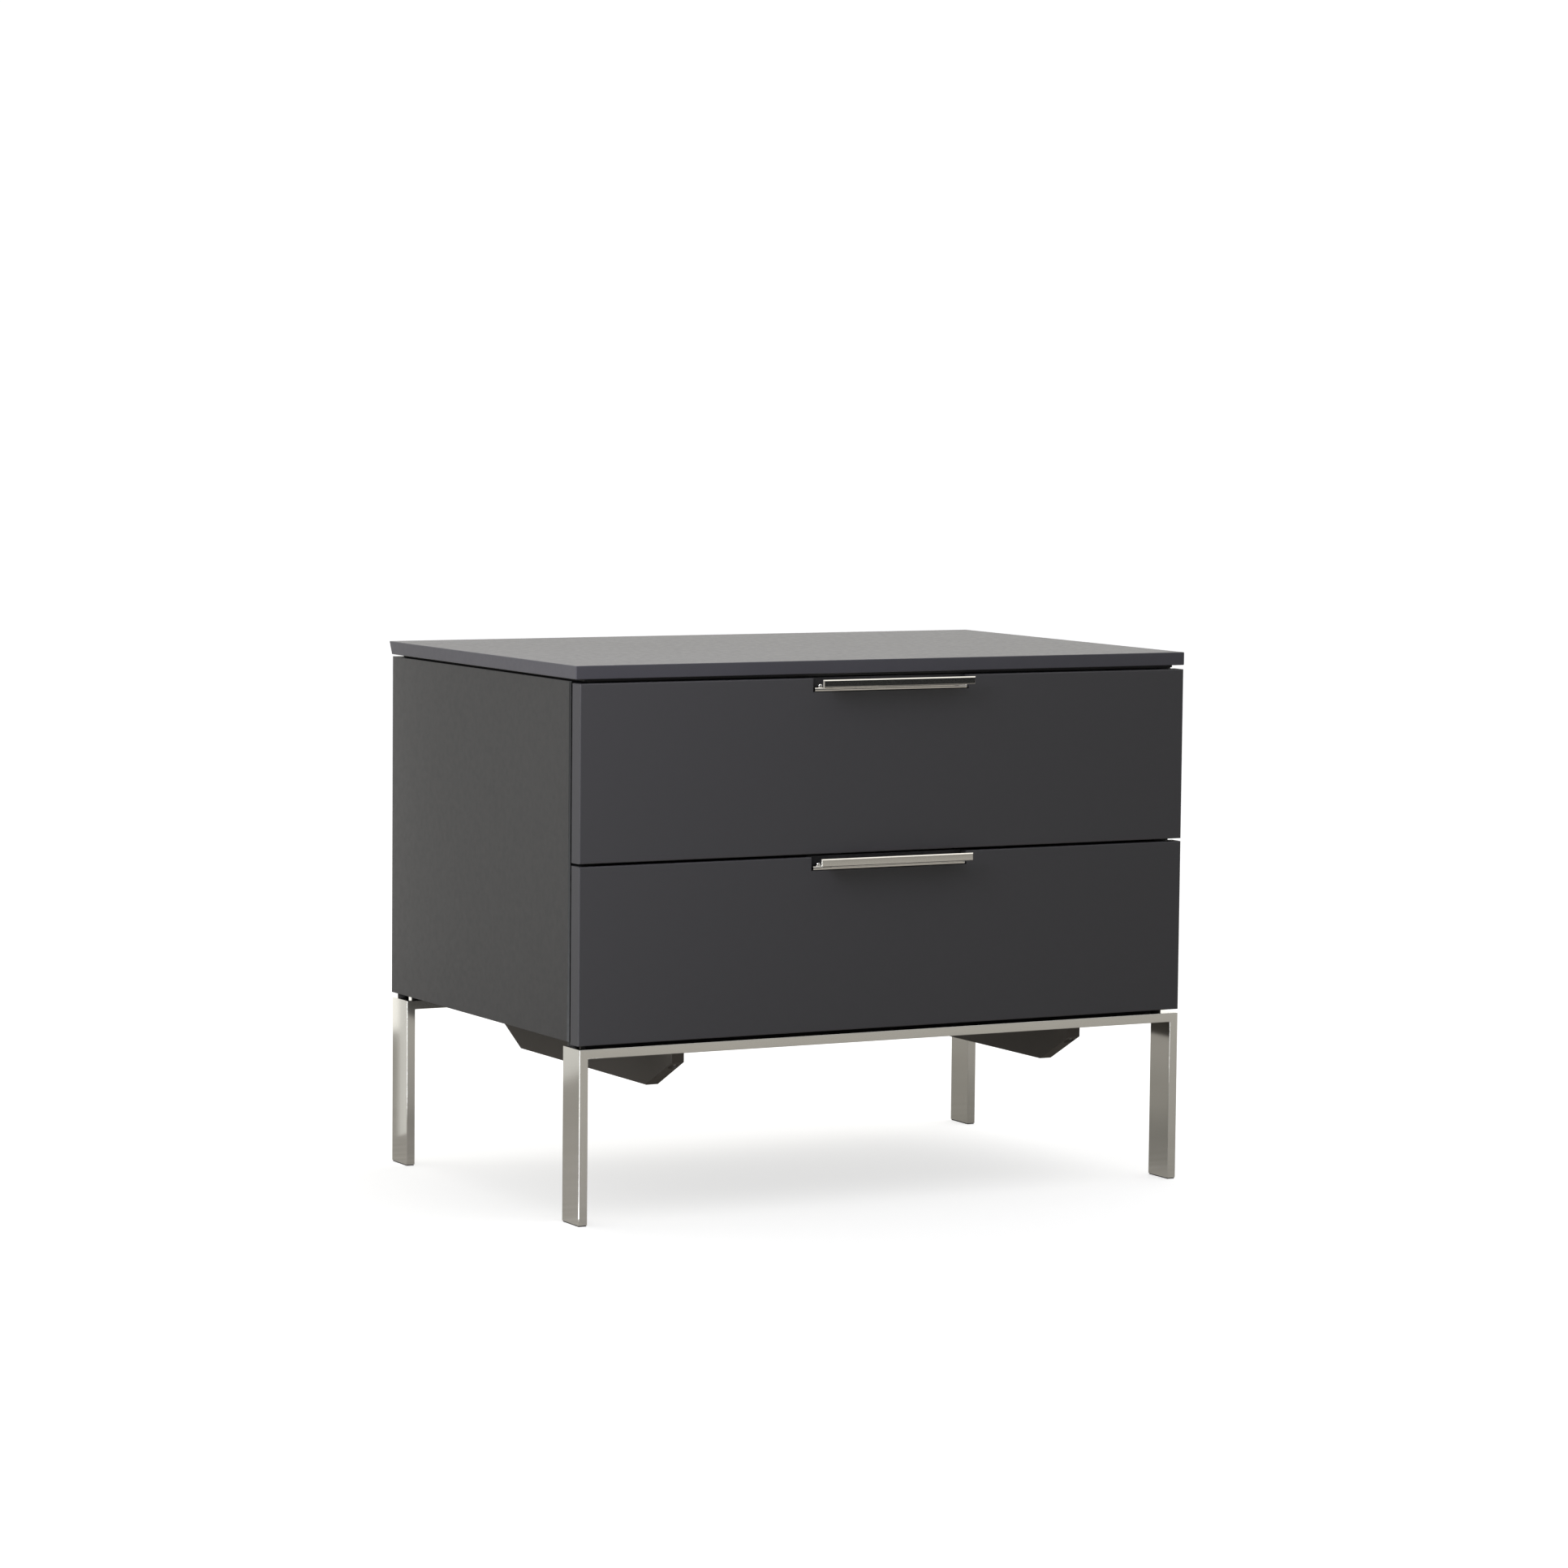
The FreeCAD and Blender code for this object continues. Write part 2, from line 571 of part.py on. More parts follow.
def make_rail(name, front):
    """Horizontal flat bar, cut at 45 degrees at both ends."""
    body = new_body(f"{name}_rail")
    outer = FRAME_SIDE
    inner = f"({FRAME_SIDE} - sizes.bar_thick)"
    corners = [
        (sided(-1, inner), RAIL_BOTTOM),
        (inner, RAIL_BOTTOM),
        (outer, "sizes.frame_top"),
        (sided(-1, outer), "sizes.frame_top"),
    ]
    pad(body, outline(body, "XZ_Plane", f"-({front} + sizes.bar_depth)", corners), "sizes.bar_depth")
    soften(body, "Fillet", "sizes.bar_round", lambda edge: runs_along(edge, 0))
    row = FRAME_SCREWS[name][0]
    holes = [(sided(side, MOUNT_MIDDLE), row) for side in SIDES.values()]
    drill(body, "XY_Plane", RAIL_BOTTOM, holes, PAN_SCREW_HOLE,
          "sizes.frame_screw_deep + sizes.spare", True)


def make_leg(name, side, front):
    """Upright flat bar, cut at 45 degrees at the top to meet the rail."""
    body = new_body(f"{name}_leg")
    outer = sided(side, FRAME_SIDE)
    inner = sided(side, f"({FRAME_SIDE} - sizes.bar_thick)")
    corners = [
        (outer, "sizes.glide_thick"),
        (outer, "sizes.frame_top"),
        (inner, RAIL_BOTTOM),
        (inner, "sizes.glide_thick"),
    ]
    pad(body, outline(body, "XZ_Plane", f"-({front} + sizes.bar_depth)", corners), "sizes.bar_depth")
    soften(body, "Fillet", "sizes.bar_round", lambda edge: runs_along(edge, 2))


def plain_box(label, low, high):
    """A loose block between two corners."""
    block = doc.addObject("Part::Box", label)
    for letter, side, start, end in zip("xyz", ("Length", "Width", "Height"), low, high):
        block.setExpression(side, f"{end} - {start}")
        block.setExpression(f"Placement.Base.{letter}", start)
    return block


def make_leg_frames():
    """Two frames of a rail and two legs, the glides under them and the black pieces on top of the rails."""
    rear_front = f"({BODY_BACK} - sizes.bar_depth)"
    inner_mount = "(sizes.mount_outer - sizes.mount_thick - sizes.strip_gap)"
    outer_mount = "(sizes.mount_outer + sizes.strip_gap)"
    strip_end = f"({INNER_SIDE} - sizes.strip_gap)"
    strip_runs = [
        (sided(-1, strip_end), sided(-1, outer_mount)),
        (sided(-1, inner_mount), inner_mount),
        (outer_mount, strip_end),
    ]
    places = {
        "front": (FRAME_FRONT, behind_face("sizes.spacer_front"), CARCASS_FRONT),
        "rear": (rear_front, f"({BODY_BACK} - sizes.spacer_back)", f"({BODY_BACK} - sizes.rear_strip_in)"),
    }
    glides = []
    spacers = []
    for name, (front, spacer_row, strip_front) in places.items():
        make_rail(name, front)
        for side_name, side in SIDES.items():
            make_leg(f"{name}_{side_name}", side, front)
            leg_middle = f"{side} * ({FRAME_SIDE} - sizes.bar_thick / 2)"
            half = "(sizes.bar_thick - sizes.glide_margin) / 2"
            glides.append(plain_box(
                "glide",
                (f"({leg_middle} - {half})", f"({front} + sizes.glide_margin)", "0"),
                (f"({leg_middle} + {half})", f"({front} + sizes.bar_depth - sizes.glide_margin)",
                 "sizes.glide_thick"),
            ))
            place = (sided(side, f"({BODY_SIDE} - sizes.board_thick / 2)"), spacer_row, "sizes.frame_top")
            spacers.append(turned("spacer", place, "+z",
                                  [("sizes.spacer_wide", "sizes.side_bottom - sizes.frame_top")]))
        for start, end in strip_runs:
            spacers.append(plain_box(
                "bearing_strip",
                (start, strip_front, "sizes.frame_top"),
                (end, f"({strip_front} + sizes.strip_deep)", "sizes.side_bottom"),
            ))
    group("leg_glides", glides)
    group("rail_spacers", spacers)


def make_frame_fasteners():
    frame_screws = []
    mount_screws = []
    for side in SIDES.values():
        centre = sided(side, MOUNT_MIDDLE)
        for row, seat in FRAME_SCREWS.values():
            shank = f"{RAIL_BOTTOM} - {seat} + sizes.frame_screw_deep"
            stages = [*PAN_HEAD, ("sizes.screw_thick", shank)]
            frame_screws.append(turned("frame_screw", (centre, row, f"({seat} - {PAN_HEAD_TALL})"), "+z",
                                       stages))
        for row in MOUNT_SCREW_ROWS:
            start = (centre, row, "(sizes.mount_bottom + sizes.counterbore_deep - sizes.long_head_tall)")
            board_left = "sizes.side_bottom - sizes.mount_bottom - sizes.counterbore_deep"
            shank = f"{board_left} + sizes.long_screw_deep"
            stages = [("sizes.long_head_wide", "sizes.long_head_tall"), ("sizes.long_screw_thick", shank)]
            mount_screws.append(turned("mount_screw", start, "+z", stages))
    group("frame_screws", frame_screws)
    group("mounting_board_screws", mount_screws)


# ---------------------------------------------------------------- drawer slides


def channel(label, side, web, reach, tall, centre, start, length, open_inward):
    """Folded steel channel lying along Y: an upright web at one X and two flanges that reach from it."""
    body = new_body(label)
    heading = -side if open_inward else side
    web_in = f"({web} + {heading} * sizes.sheet_steel)"
    lip = f"({web} + {heading} * {reach})"
    top, bottom = f"({centre} + {tall} / 2)", f"({centre} - {tall} / 2)"
    inner_top, inner_bottom = f"({top} - sizes.sheet_steel)", f"({bottom} + sizes.sheet_steel)"
    corners = [
        (web, bottom), (lip, bottom), (lip, inner_bottom), (web_in, inner_bottom),
        (web_in, inner_top), (lip, inner_top), (lip, top), (web, top),
    ]
    pad(body, outline(body, "XZ_Plane", f"-({start} + {length})", corners), length)
    return body


def make_slides(level, front_top):
    centre = slide_middle(front_top)
    start = behind_face("sizes.slide_start")
    for name, side in SIDES.items():
        outer_web = sided(side, INNER_SIDE)
        outer = channel(f"{level}_{name}_cabinet_rail", side, outer_web, "sizes.outer_rail_wide",
                        "sizes.outer_rail_tall", centre, start, "sizes.slide_length", True)
        holes = [(row, centre) for row in CARCASS_SCREW_ROWS]
        drill(outer, "YZ_Plane", outer_web, holes, loose("sizes.slide_head_wide"), "sizes.sheet_steel",
              side < 0)

        middle_web = sided(side, f"({INNER_SIDE} - sizes.middle_rail_in)")
        channel(f"{level}_{name}_middle_rail", side, middle_web, "sizes.middle_rail_wide",
                "sizes.middle_rail_tall", centre, start, "sizes.slide_length", True)

        inner_web = sided(side, BOX_SIDE)
        length = f"({BOX_BACK} - {start})"
        inner = channel(f"{level}_{name}_drawer_rail", side, inner_web, "sizes.inner_rail_wide",
                        "sizes.inner_rail_tall", centre, start, length, False)
        holes = [(row, centre) for row in BOX_SCREW_ROWS]
        drill(inner, "YZ_Plane", inner_web, holes, loose("sizes.slide_head_wide"), "sizes.sheet_steel",
              side > 0)


def make_cabinet_rail_screws():
    screws = []
    for side in SIDES.values():
        head_x = sided(side, f"({INNER_SIDE} - sizes.sheet_steel)")
        outward = "+x" if side > 0 else "-x"
        for front_top in DRAWERS.values():
            for row in CARCASS_SCREW_ROWS:
                start = (head_x, row, slide_middle(front_top))
                screws.append(turned("rail_screw", start, outward,
                                     [("sizes.slide_head_wide", "sizes.sheet_steel"),
                                      ("sizes.thin_screw", "sizes.carcass_screw_deep")]))
    group("cabinet_rail_screws", screws)


# ---------------------------------------------------------------- drawers


def make_drawer_front(level, front_top):
    """Lacquered front with a blind notch in its top edge for the handle."""
    body = new_body(f"{level}_drawer_front")
    bottom = f"({front_top} - sizes.front_height)"
    corners = rectangle((sided(-1, BODY_SIDE), bottom), (BODY_SIDE, front_top))
    pad(body, outline(body, "XZ_Plane", f"-{BOX_FRONT}", corners), "sizes.front_thick")
    face = value(FACE)
    soften(body, "Fillet", "sizes.front_round", lambda edge: abs(middle(edge).y - face) < TOUCHING)
    half_notch = "sizes.notch_width / 2"
    notch_floor = f"({front_top} - sizes.notch_height)"
    notch = rectangle((f"-{half_notch}", notch_floor), (half_notch, f"({front_top} + sizes.overcut)"))
    pocket(body, outline(body, "XZ_Plane", f"-{behind_face('sizes.notch_depth')}", notch),
           "sizes.notch_depth + sizes.overcut", True)
    drill(body, "XY_Plane", notch_floor, HANDLE_SCREWS, SMALL_HOLE, "sizes.small_hole_deep", False)
    fixing = [(x, z) for x in FIXING_COLUMNS for z in fixing_heights(front_top)]
    drill(body, "XZ_Plane", f"-{BOX_FRONT}", fixing, PAN_SCREW_HOLE, "sizes.fixing_deep + sizes.spare",
          True)


def fixing_heights(front_top):
    return [f"({box_base(front_top)} + sizes.fixing_{place})" for place in ("low", "high")]


def make_drawer_box(level, front_top):
    base = box_base(front_top)
    top = f"({base} + sizes.box_height)"
    floor = f"({base} + sizes.bottom_lift)"
    groove_low = f"({floor} - sizes.fit / 2)"
    groove_high = f"({floor} + sizes.bottom_thick + sizes.fit / 2)"
    inner_front = f"({BOX_FRONT} + sizes.box_board)"
    inner_back = f"({BOX_BACK} - sizes.box_board)"

    for name, side in SIDES.items():
        low, high = sorted((sided(side, BOX_SIDE), sided(side, BOX_INNER)), key=value)
        body = board(f"{level}_box_{name}_side", (low, high), (BOX_FRONT, BOX_BACK), (base, top))
        groove_x = sorted((sided(side, BOX_INNER), sided(side, f"({BOX_INNER} + sizes.groove_depth)")),
                          key=value)
        groove = rectangle((groove_x[0], groove_low), (groove_x[1], groove_high))
        pocket(body, outline(body, "XZ_Plane", f"-{BOX_BACK}", groove), "sizes.box_length", True)
        holes = [(row, slide_middle(front_top)) for row in BOX_SCREW_ROWS]
        drill(body, "YZ_Plane", sided(side, BOX_SIDE), holes, THIN_HOLE,
              "sizes.box_screw_deep + sizes.spare", side < 0)

    ends = (("front", BOX_FRONT, inner_front, inner_front), ("back", inner_back, BOX_BACK, inner_back))
    for name, near, far, inside in ends:
        body = board(f"{level}_box_{name}", (sided(-1, BOX_INNER), BOX_INNER), (near, far), (base, top))
        inward = -1 if name == "front" else 1
        groove_y = sorted((inside, f"({inside} + {inward} * sizes.groove_depth)"), key=value)
        groove = rectangle((groove_y[0], groove_low), (groove_y[1], groove_high))
        pocket(body, outline(body, "YZ_Plane", sided(-1, BOX_INNER), groove), f"2 * {BOX_INNER}", True)
        if name == "front":
            fixing = [(x, z) for x in FIXING_COLUMNS for z in fixing_heights(front_top)]
            drill(body, "XZ_Plane", f"-{inner_front}", fixing, "sizes.screw_hole", "sizes.box_board", True)

    reach = "(sizes.groove_depth - sizes.fit)"
    board(
        f"{level}_box_bottom",
        (f"(-{BOX_INNER} - {reach})", f"({BOX_INNER} + {reach})"),
        (f"({inner_front} - {reach})", f"({inner_back} + {reach})"),
        (floor, f"({floor} + sizes.bottom_thick)"),
    )


def make_handle(level, front_top):
    """Plate on the notch floor, a thin web forward from its top and an upright grip bar at the front."""
    body = new_body(f"{level}_handle")
    floor = f"({front_top} - sizes.notch_height)"
    plate_top = f"({floor} + sizes.plate_thick)"
    grip_front = f"({FACE} - sizes.handle_reach)"
    grip_back = f"({grip_front} + sizes.grip_thick)"
    plate = rectangle((FACE, floor), (behind_face("sizes.plate_depth"), plate_top))
    pad(body, outline(body, "YZ_Plane", "0", plate), "sizes.handle_length", midplane=True)
    face = value(FACE)
    soften(body, "Fillet", "sizes.grip_bevel",
           lambda edge: runs_along(edge, 0) and abs(middle(edge).y - face) < TOUCHING)
    web = rectangle((f"({grip_back} - sizes.web_overlap)", plate_top),
                    (behind_face("sizes.web_behind"), f"({plate_top} + sizes.web_thick)"))
    pad(body, outline(body, "YZ_Plane", "0", web), "sizes.handle_length - 2 * sizes.web_inset",
        midplane=True)
    grip = rectangle((grip_front, f"({plate_top} + sizes.grip_lap)"),
                     (grip_back, f"({front_top} - sizes.grip_drop)"))
    pad(body, outline(body, "YZ_Plane", "0", grip), "sizes.handle_length", midplane=True)
    front = value(grip_front)
    soften(body, "Chamfer", "sizes.grip_bevel", lambda edge: abs(middle(edge).y - front) < TOUCHING)
    drill(body, "XY_Plane", plate_top, HANDLE_SCREWS, SMALL_HOLE, "sizes.plate_thick", False)


def make_drawer_fasteners(level, front_top):
    plate_top = f"({front_top} - sizes.notch_height + sizes.plate_thick)"
    head_top = f"({plate_top} + sizes.dome_crown + sizes.dome_slope + sizes.dome_rim)"
    stages = [
        ("sizes.dome_flat", "sizes.dome_shoulder", "sizes.dome_crown"),
        ("sizes.dome_shoulder", "sizes.dome_wide", "sizes.dome_slope"),
        ("sizes.dome_wide", "sizes.dome_rim"),
        ("sizes.small_screw", "sizes.small_screw_long"),
    ]
    group(f"{level}_handle_screws",
          [turned("handle_screw", (x, y, head_top), "-z", stages) for x, y in HANDLE_SCREWS])
    inner_front = f"({BOX_FRONT} + sizes.box_board)"
    group(f"{level}_front_screws", [
        turned("front_screw", (x, f"({inner_front} + {PAN_HEAD_TALL})", z), "-y",
               [*PAN_HEAD, ("sizes.screw_thick", "sizes.box_board + sizes.fixing_deep")])
        for x in FIXING_COLUMNS for z in fixing_heights(front_top)
    ])
    rail_screws = []
    for side in SIDES.values():
        head_x = sided(side, f"({BOX_SIDE} + sizes.sheet_steel)")
        inward = "+x" if side < 0 else "-x"
        for row in BOX_SCREW_ROWS:
            start = (head_x, row, slide_middle(front_top))
            rail_screws.append(turned("box_rail_screw", start, inward,
                                      [("sizes.slide_head_wide", "sizes.sheet_steel"),
                                       ("sizes.thin_screw", "sizes.box_screw_deep")]))
    group(f"{level}_rail_screws", rail_screws)
    height = TOP_JOINT if level == "upper" else BOTTOM_JOINT
    group(f"{level}_bumpers", [
        turned("bumper", (x, BOX_FRONT, height), "+y",
               [("sizes.bumper_wide", "sizes.front_clearance - sizes.bumper_gap")])
        for x in BUMPER_COLUMNS
    ])


# ---------------------------------------------------------------- the whole piece


def build():
    make_top_panel()
    make_shadow_spacer()
    make_carcass_top()
    make_carcass_bottom()
    make_back_panel()
    for name, side in SIDES.items():
        make_side_panel(name, side)
        make_mounting_board(name, side)
    make_carcass_fasteners()
    make_leg_frames()
    make_frame_fasteners()
    make_cabinet_rail_screws()
    for level, front_top in DRAWERS.items():
        make_slides(level, front_top)
        make_drawer_front(level, front_top)
        make_drawer_box(level, front_top)
        make_handle(level, front_top)
        make_drawer_fasteners(level, front_top)
    doc.recompute()


def check():
    """Stops before anything is written if an object failed or a sub-part has no sound shape."""
    for item in doc.Objects:
        if "Invalid" in item.State or "Error" in item.State:
            raise RuntimeError(f"{item.Label} is {item.State}")
    for piece in SUBPARTS:
        if piece.Shape.isNull() or not piece.Shape.isValid() or not piece.Shape.Solids:
            raise RuntimeError(f"{piece.Label} has no valid solid")


def export():
    os.makedirs("parts", exist_ok=True)
    for piece in SUBPARTS:
        piece.Shape.exportStep(os.path.join("parts", f"{piece.Label}.step"))


build()
check()
export()
whole = Part.makeCompound([piece.Shape for piece in SUBPARTS])
box = whole.BoundBox
print(f"{len(SUBPARTS)} sub-parts, {len(whole.Solids)} solids")
print(f"box {box.XLength:.2f} x {box.YLength:.2f} x {box.ZLength:.2f} mm")
print(f"from ({box.XMin:.2f}, {box.YMin:.2f}, {box.ZMin:.2f})")
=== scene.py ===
import math

import bpy
from mathutils import Matrix, Vector


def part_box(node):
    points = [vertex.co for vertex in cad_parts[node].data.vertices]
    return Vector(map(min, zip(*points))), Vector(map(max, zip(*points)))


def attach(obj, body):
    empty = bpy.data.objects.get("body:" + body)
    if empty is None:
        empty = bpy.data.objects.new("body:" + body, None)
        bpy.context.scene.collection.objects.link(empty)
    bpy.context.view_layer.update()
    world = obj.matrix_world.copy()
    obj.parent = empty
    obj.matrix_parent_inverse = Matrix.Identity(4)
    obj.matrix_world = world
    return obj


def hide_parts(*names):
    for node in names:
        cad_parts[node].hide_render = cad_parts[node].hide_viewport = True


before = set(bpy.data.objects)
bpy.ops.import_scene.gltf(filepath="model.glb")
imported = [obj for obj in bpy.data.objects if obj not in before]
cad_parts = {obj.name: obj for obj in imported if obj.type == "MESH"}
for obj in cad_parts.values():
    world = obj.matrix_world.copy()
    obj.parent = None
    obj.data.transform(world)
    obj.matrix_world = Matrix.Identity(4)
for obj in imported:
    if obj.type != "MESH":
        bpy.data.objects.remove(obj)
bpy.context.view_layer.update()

bl_info = {
    "name": "Nightstand with two drawers",
    "version": (1, 0, 0),
    "blender": (4, 5, 0),
    "location": "3D View > Sidebar > Nightstand",
    "description": "Finishes and fine parts of a lacquered nightstand on polished steel frames",
    "category": "Object",
}

MM = 0.001
LEVELS = ("upper", "lower")
SIDES = ("left", "right")
SMOOTH_ANGLE = math.radians(35)
FACING = 0.9    # part of a unit normal past which a face counts as turned that way
NEAR = 0.01     # millimetres within which a point counts as lying on a plane


# ---------------------------------------------------------------- colours

def linear(level):
    """Light of a display level from 0 to 1."""
    return level / 12.92 if level <= 0.04045 else ((level + 0.055) / 1.055) ** 2.4


def tone(red, green, blue):
    """Colour from display levels out of 255."""
    return tuple(linear(channel / 255) for channel in (red, green, blue))


def scaled(colour, factor):
    return tuple(min(1.0, channel * factor) for channel in colour)


# near black painted on the side panels' front edges as shade in the gap beside the drawer fronts
PAINTED_GAP_SHADE = tone(14, 14, 15)
# darker colour painted on the drawer fronts' narrow ends as shade
PAINTED_END_SHADE = tone(27, 27, 25)
# near black for the spacer under the slab: painted shade in that recess
SHADOW_BLACK = tone(18, 18, 19)
BLACK_PLASTIC = tone(24, 24, 25)
PALE_STEEL = (0.8, 0.8, 0.8)
ROLLED_ZINC = (0.56, 0.58, 0.61)
CAST_ZINC = (0.45, 0.45, 0.46)
PLATED_ZINC = (0.62, 0.61, 0.58)
LIGHT_BEECH = (0.58, 0.41, 0.25)
DARK_BEECH = (0.43, 0.28, 0.15)
CLEAR_RUBBER = (0.86, 0.88, 0.88)


# ---------------------------------------------------------------- finishes

def begin_finish(name, metallic=0.0):
    """A new material, its node tree and its shader."""
    material = bpy.data.materials.new(name)
    material.use_nodes = True
    tree = material.node_tree
    shader = tree.nodes["Principled BSDF"]
    shader.inputs["Metallic"].default_value = metallic
    return material, tree, shader


def object_space(tree, stretch=(1.0, 1.0, 1.0)):
    """Object coordinates, stretched for a finish with a direction."""
    place = tree.nodes.new("ShaderNodeTexCoord")
    mapping = tree.nodes.new("ShaderNodeMapping")
    mapping.inputs["Scale"].default_value = stretch
    tree.links.new(place.outputs["Object"], mapping.inputs["Vector"])
    return mapping.outputs["Vector"]


def noise(tree, vector, scale, detail=3.0, roughness=0.55, distortion=0.0):
    node = tree.nodes.new("ShaderNodeTexNoise")
    node.inputs["Scale"].default_value = scale
    node.inputs["Detail"].default_value = detail
    node.inputs["Roughness"].default_value = roughness
    node.inputs["Distortion"].default_value = distortion
    tree.links.new(vector, node.inputs["Vector"])
    return node.outputs["Fac"]


def colour_between(tree, factor, first, second, low=0.3, high=0.7):
    """Colour that runs from first to second as the factor goes from low to high."""
    ramp = tree.nodes.new("ShaderNodeValToRGB")
    ramp.color_ramp.elements[0].position = low
    ramp.color_ramp.elements[0].color = (*first, 1.0)
    ramp.color_ramp.elements[1].position = high
    ramp.color_ramp.elements[1].color = (*second, 1.0)
    tree.links.new(factor, ramp.inputs["Fac"])
    return ramp.outputs["Color"]


def number_between(tree, factor, first, second, low=0.3, high=0.7):
    """Number that runs from first to second as the factor goes from low to high."""
    node = tree.nodes.new("ShaderNodeMapRange")
    node.inputs["From Min"].default_value = low
    node.inputs["From Max"].default_value = high
    node.inputs["To Min"].default_value = first
    node.inputs["To Max"].default_value = second
    tree.links.new(factor, node.inputs["Value"])
    return node.outputs["Result"]


def relief(tree, shader, height, strength, depth, under=None):
    """Fine relief of the given depth in metres, on top of another one if given."""
    bump = tree.nodes.new("ShaderNodeBump")
    bump.inputs["Strength"].default_value = strength
    bump.inputs["Distance"].default_value = depth
    tree.links.new(height, bump.inputs["Height"])
    if under is not None:
        tree.links.new(under, bump.inputs["Normal"])
    tree.links.new(bump.outputs["Normal"], shader.inputs["Normal"])
    return bump.outputs["Normal"]


def axis_of(tree, axis):
    """One of the object coordinates, in metres."""
    split = tree.nodes.new("ShaderNodeSeparateXYZ")
    tree.links.new(object_space(tree), split.inputs["Vector"])
    return split.outputs[axis]


def vary_roughness(tree, shader, factor, first, second):
    """Roughness that runs from first to second with the factor."""
    tree.links.new(number_between(tree, factor, first, second), shader.inputs["Roughness"])


def dark_past(tree, colour, place, edge, dark, step=0.0001):
    """The colour, but a dark one where the place is above the edge, over a step in metres; both callers use
    it for painted shade.
    """
    mix = tree.nodes.new("ShaderNodeMix")
    mix.data_type = "RGBA"
    factor = number_between(tree, place, 0.0, 1.0, edge - step, edge + step)
    tree.links.new(factor, mix.inputs["Factor"])
    tree.links.new(colour, mix.inputs["A"])
    mix.inputs["B"].default_value = (*dark, 1.0)
    return mix.outputs["Result"]


def front_edge_painted_shade(tree, colour):
    """Painted shade: the front edge of a side panel, chamfer included, goes near black for the shade in the
    gap beside the drawer fronts; the depth is in millimetres.
    """
    depth = 1.6
    forward = tree.nodes.new("ShaderNodeMath")
    forward.operation = "MULTIPLY"
    tree.links.new(axis_of(tree, "Y"), forward.inputs[0])
    forward.inputs[1].default_value = -1.0
    edge = -(low("left_side_panel").y + depth) * MM
    return dark_past(tree, colour, forward.outputs["Value"], edge, PAINTED_GAP_SHADE)


def ends_painted_shade(tree, colour):
    """Painted shade: darker narrow ends of a drawer front, so that they look shaded; the depth is in
    millimetres.
    """
    depth = 0.4
    outward = tree.nodes.new("ShaderNodeMath")
    outward.operation = "ABSOLUTE"
    tree.links.new(axis_of(tree, "X"), outward.inputs[0])
    edge = (high("upper_drawer_front").x - depth) * MM
    return dark_past(tree, colour, outward.outputs["Value"], edge, PAINTED_END_SHADE)


def lacquer(name, colour, roughness, peel=0.1, spread=0.05, gloss=0.5, edges=None):
    """Matt lacquer over fibreboard: faint clouding and a fine orange peel."""
    material, tree, shader = begin_finish(name)
    vector = object_space(tree)
    cloud = noise(tree, vector, scale=8.0, detail=5.0)
    shades = colour_between(tree, cloud, scaled(colour, 1 - spread), scaled(colour, 1 + spread))
    # where given, edges paints shade on some edges of the panel
    if edges is not None:
        shades = edges(tree, shades)
    tree.links.new(shades, shader.inputs["Base Color"])
    shader.inputs["Specular IOR Level"].default_value = gloss
    patches = noise(tree, vector, scale=180.0, detail=2.0)
    vary_roughness(tree, shader, patches, roughness - 0.03, roughness + 0.03)
    relief(tree, shader, noise(tree, vector, scale=1200.0, detail=2.0), strength=peel, depth=0.0002)
    return material


def steel(name, colour, roughness, ripple=0.12, grain=(1.0, 1.0, 1.0), grain_scale=900.0):
    """Polished steel: slow ripple in what it mirrors, fine grain in its gloss."""
    material, tree, shader = begin_finish(name, metallic=1.0)
    vector = object_space(tree)
    cloud = noise(tree, vector, scale=34.0, detail=4.0)
    shades = colour_between(tree, cloud, scaled(colour, 0.95), scaled(colour, 1.04))
    tree.links.new(shades, shader.inputs["Base Color"])
    fine = noise(tree, object_space(tree, grain), grain_scale, detail=3.0)
    vary_roughness(tree, shader, fine, roughness * 0.75, roughness * 1.3)
    waves = noise(tree, vector, scale=30.0, detail=1.0, roughness=0.4, distortion=0.6)
    slow = relief(tree, shader, waves, strength=ripple, depth=0.0006)
    relief(tree, shader, fine, strength=0.02, depth=0.00005, under=slow)
    return material


def wood(name, light, dark, along, roughness=0.5):
    """Straight grain that runs along one axis and is squeezed across it."""
    material, tree, shader = begin_finish(name)
    squeeze = 14.0
    vector = object_space(tree, [1.0 if axis == along else squeeze for axis in range(3)])
    grain = noise(tree, vector, scale=9.0, detail=6.0, roughness=0.6, distortion=0.4)
    tree.links.new(colour_between(tree, grain, dark, light), shader.inputs["Base Color"])
    vary_roughness(tree, shader, grain, roughness + 0.08, roughness - 0.05)
    relief(tree, shader, noise(tree, vector, scale=60.0, detail=3.0), strength=0.15, depth=0.0002)
    return material


def melamine(name, colour, roughness=0.45):
    """Decor paper with a faint linen weave under clear resin."""
    material, tree, shader = begin_finish(name)
    vector = object_space(tree)
    threads = tree.nodes.new("ShaderNodeTexWave")
    threads.wave_type = "BANDS"
    threads.bands_direction = "Y"
    threads.inputs["Scale"].default_value = 260.0
    threads.inputs["Distortion"].default_value = 2.0
    threads.inputs["Detail"].default_value = 2.0
    tree.links.new(vector, threads.inputs["Vector"])
    cloud = noise(tree, object_space(tree, (1.0, 0.25, 1.0)), scale=60.0, detail=5.0)
    shades = colour_between(tree, cloud, scaled(colour, 0.93), scaled(colour, 1.04))
    tree.links.new(shades, shader.inputs["Base Color"])
    vary_roughness(tree, shader, cloud, roughness - 0.04, roughness + 0.05)
    relief(tree, shader, threads.outputs["Fac"], strength=0.08, depth=0.0001)
    return material


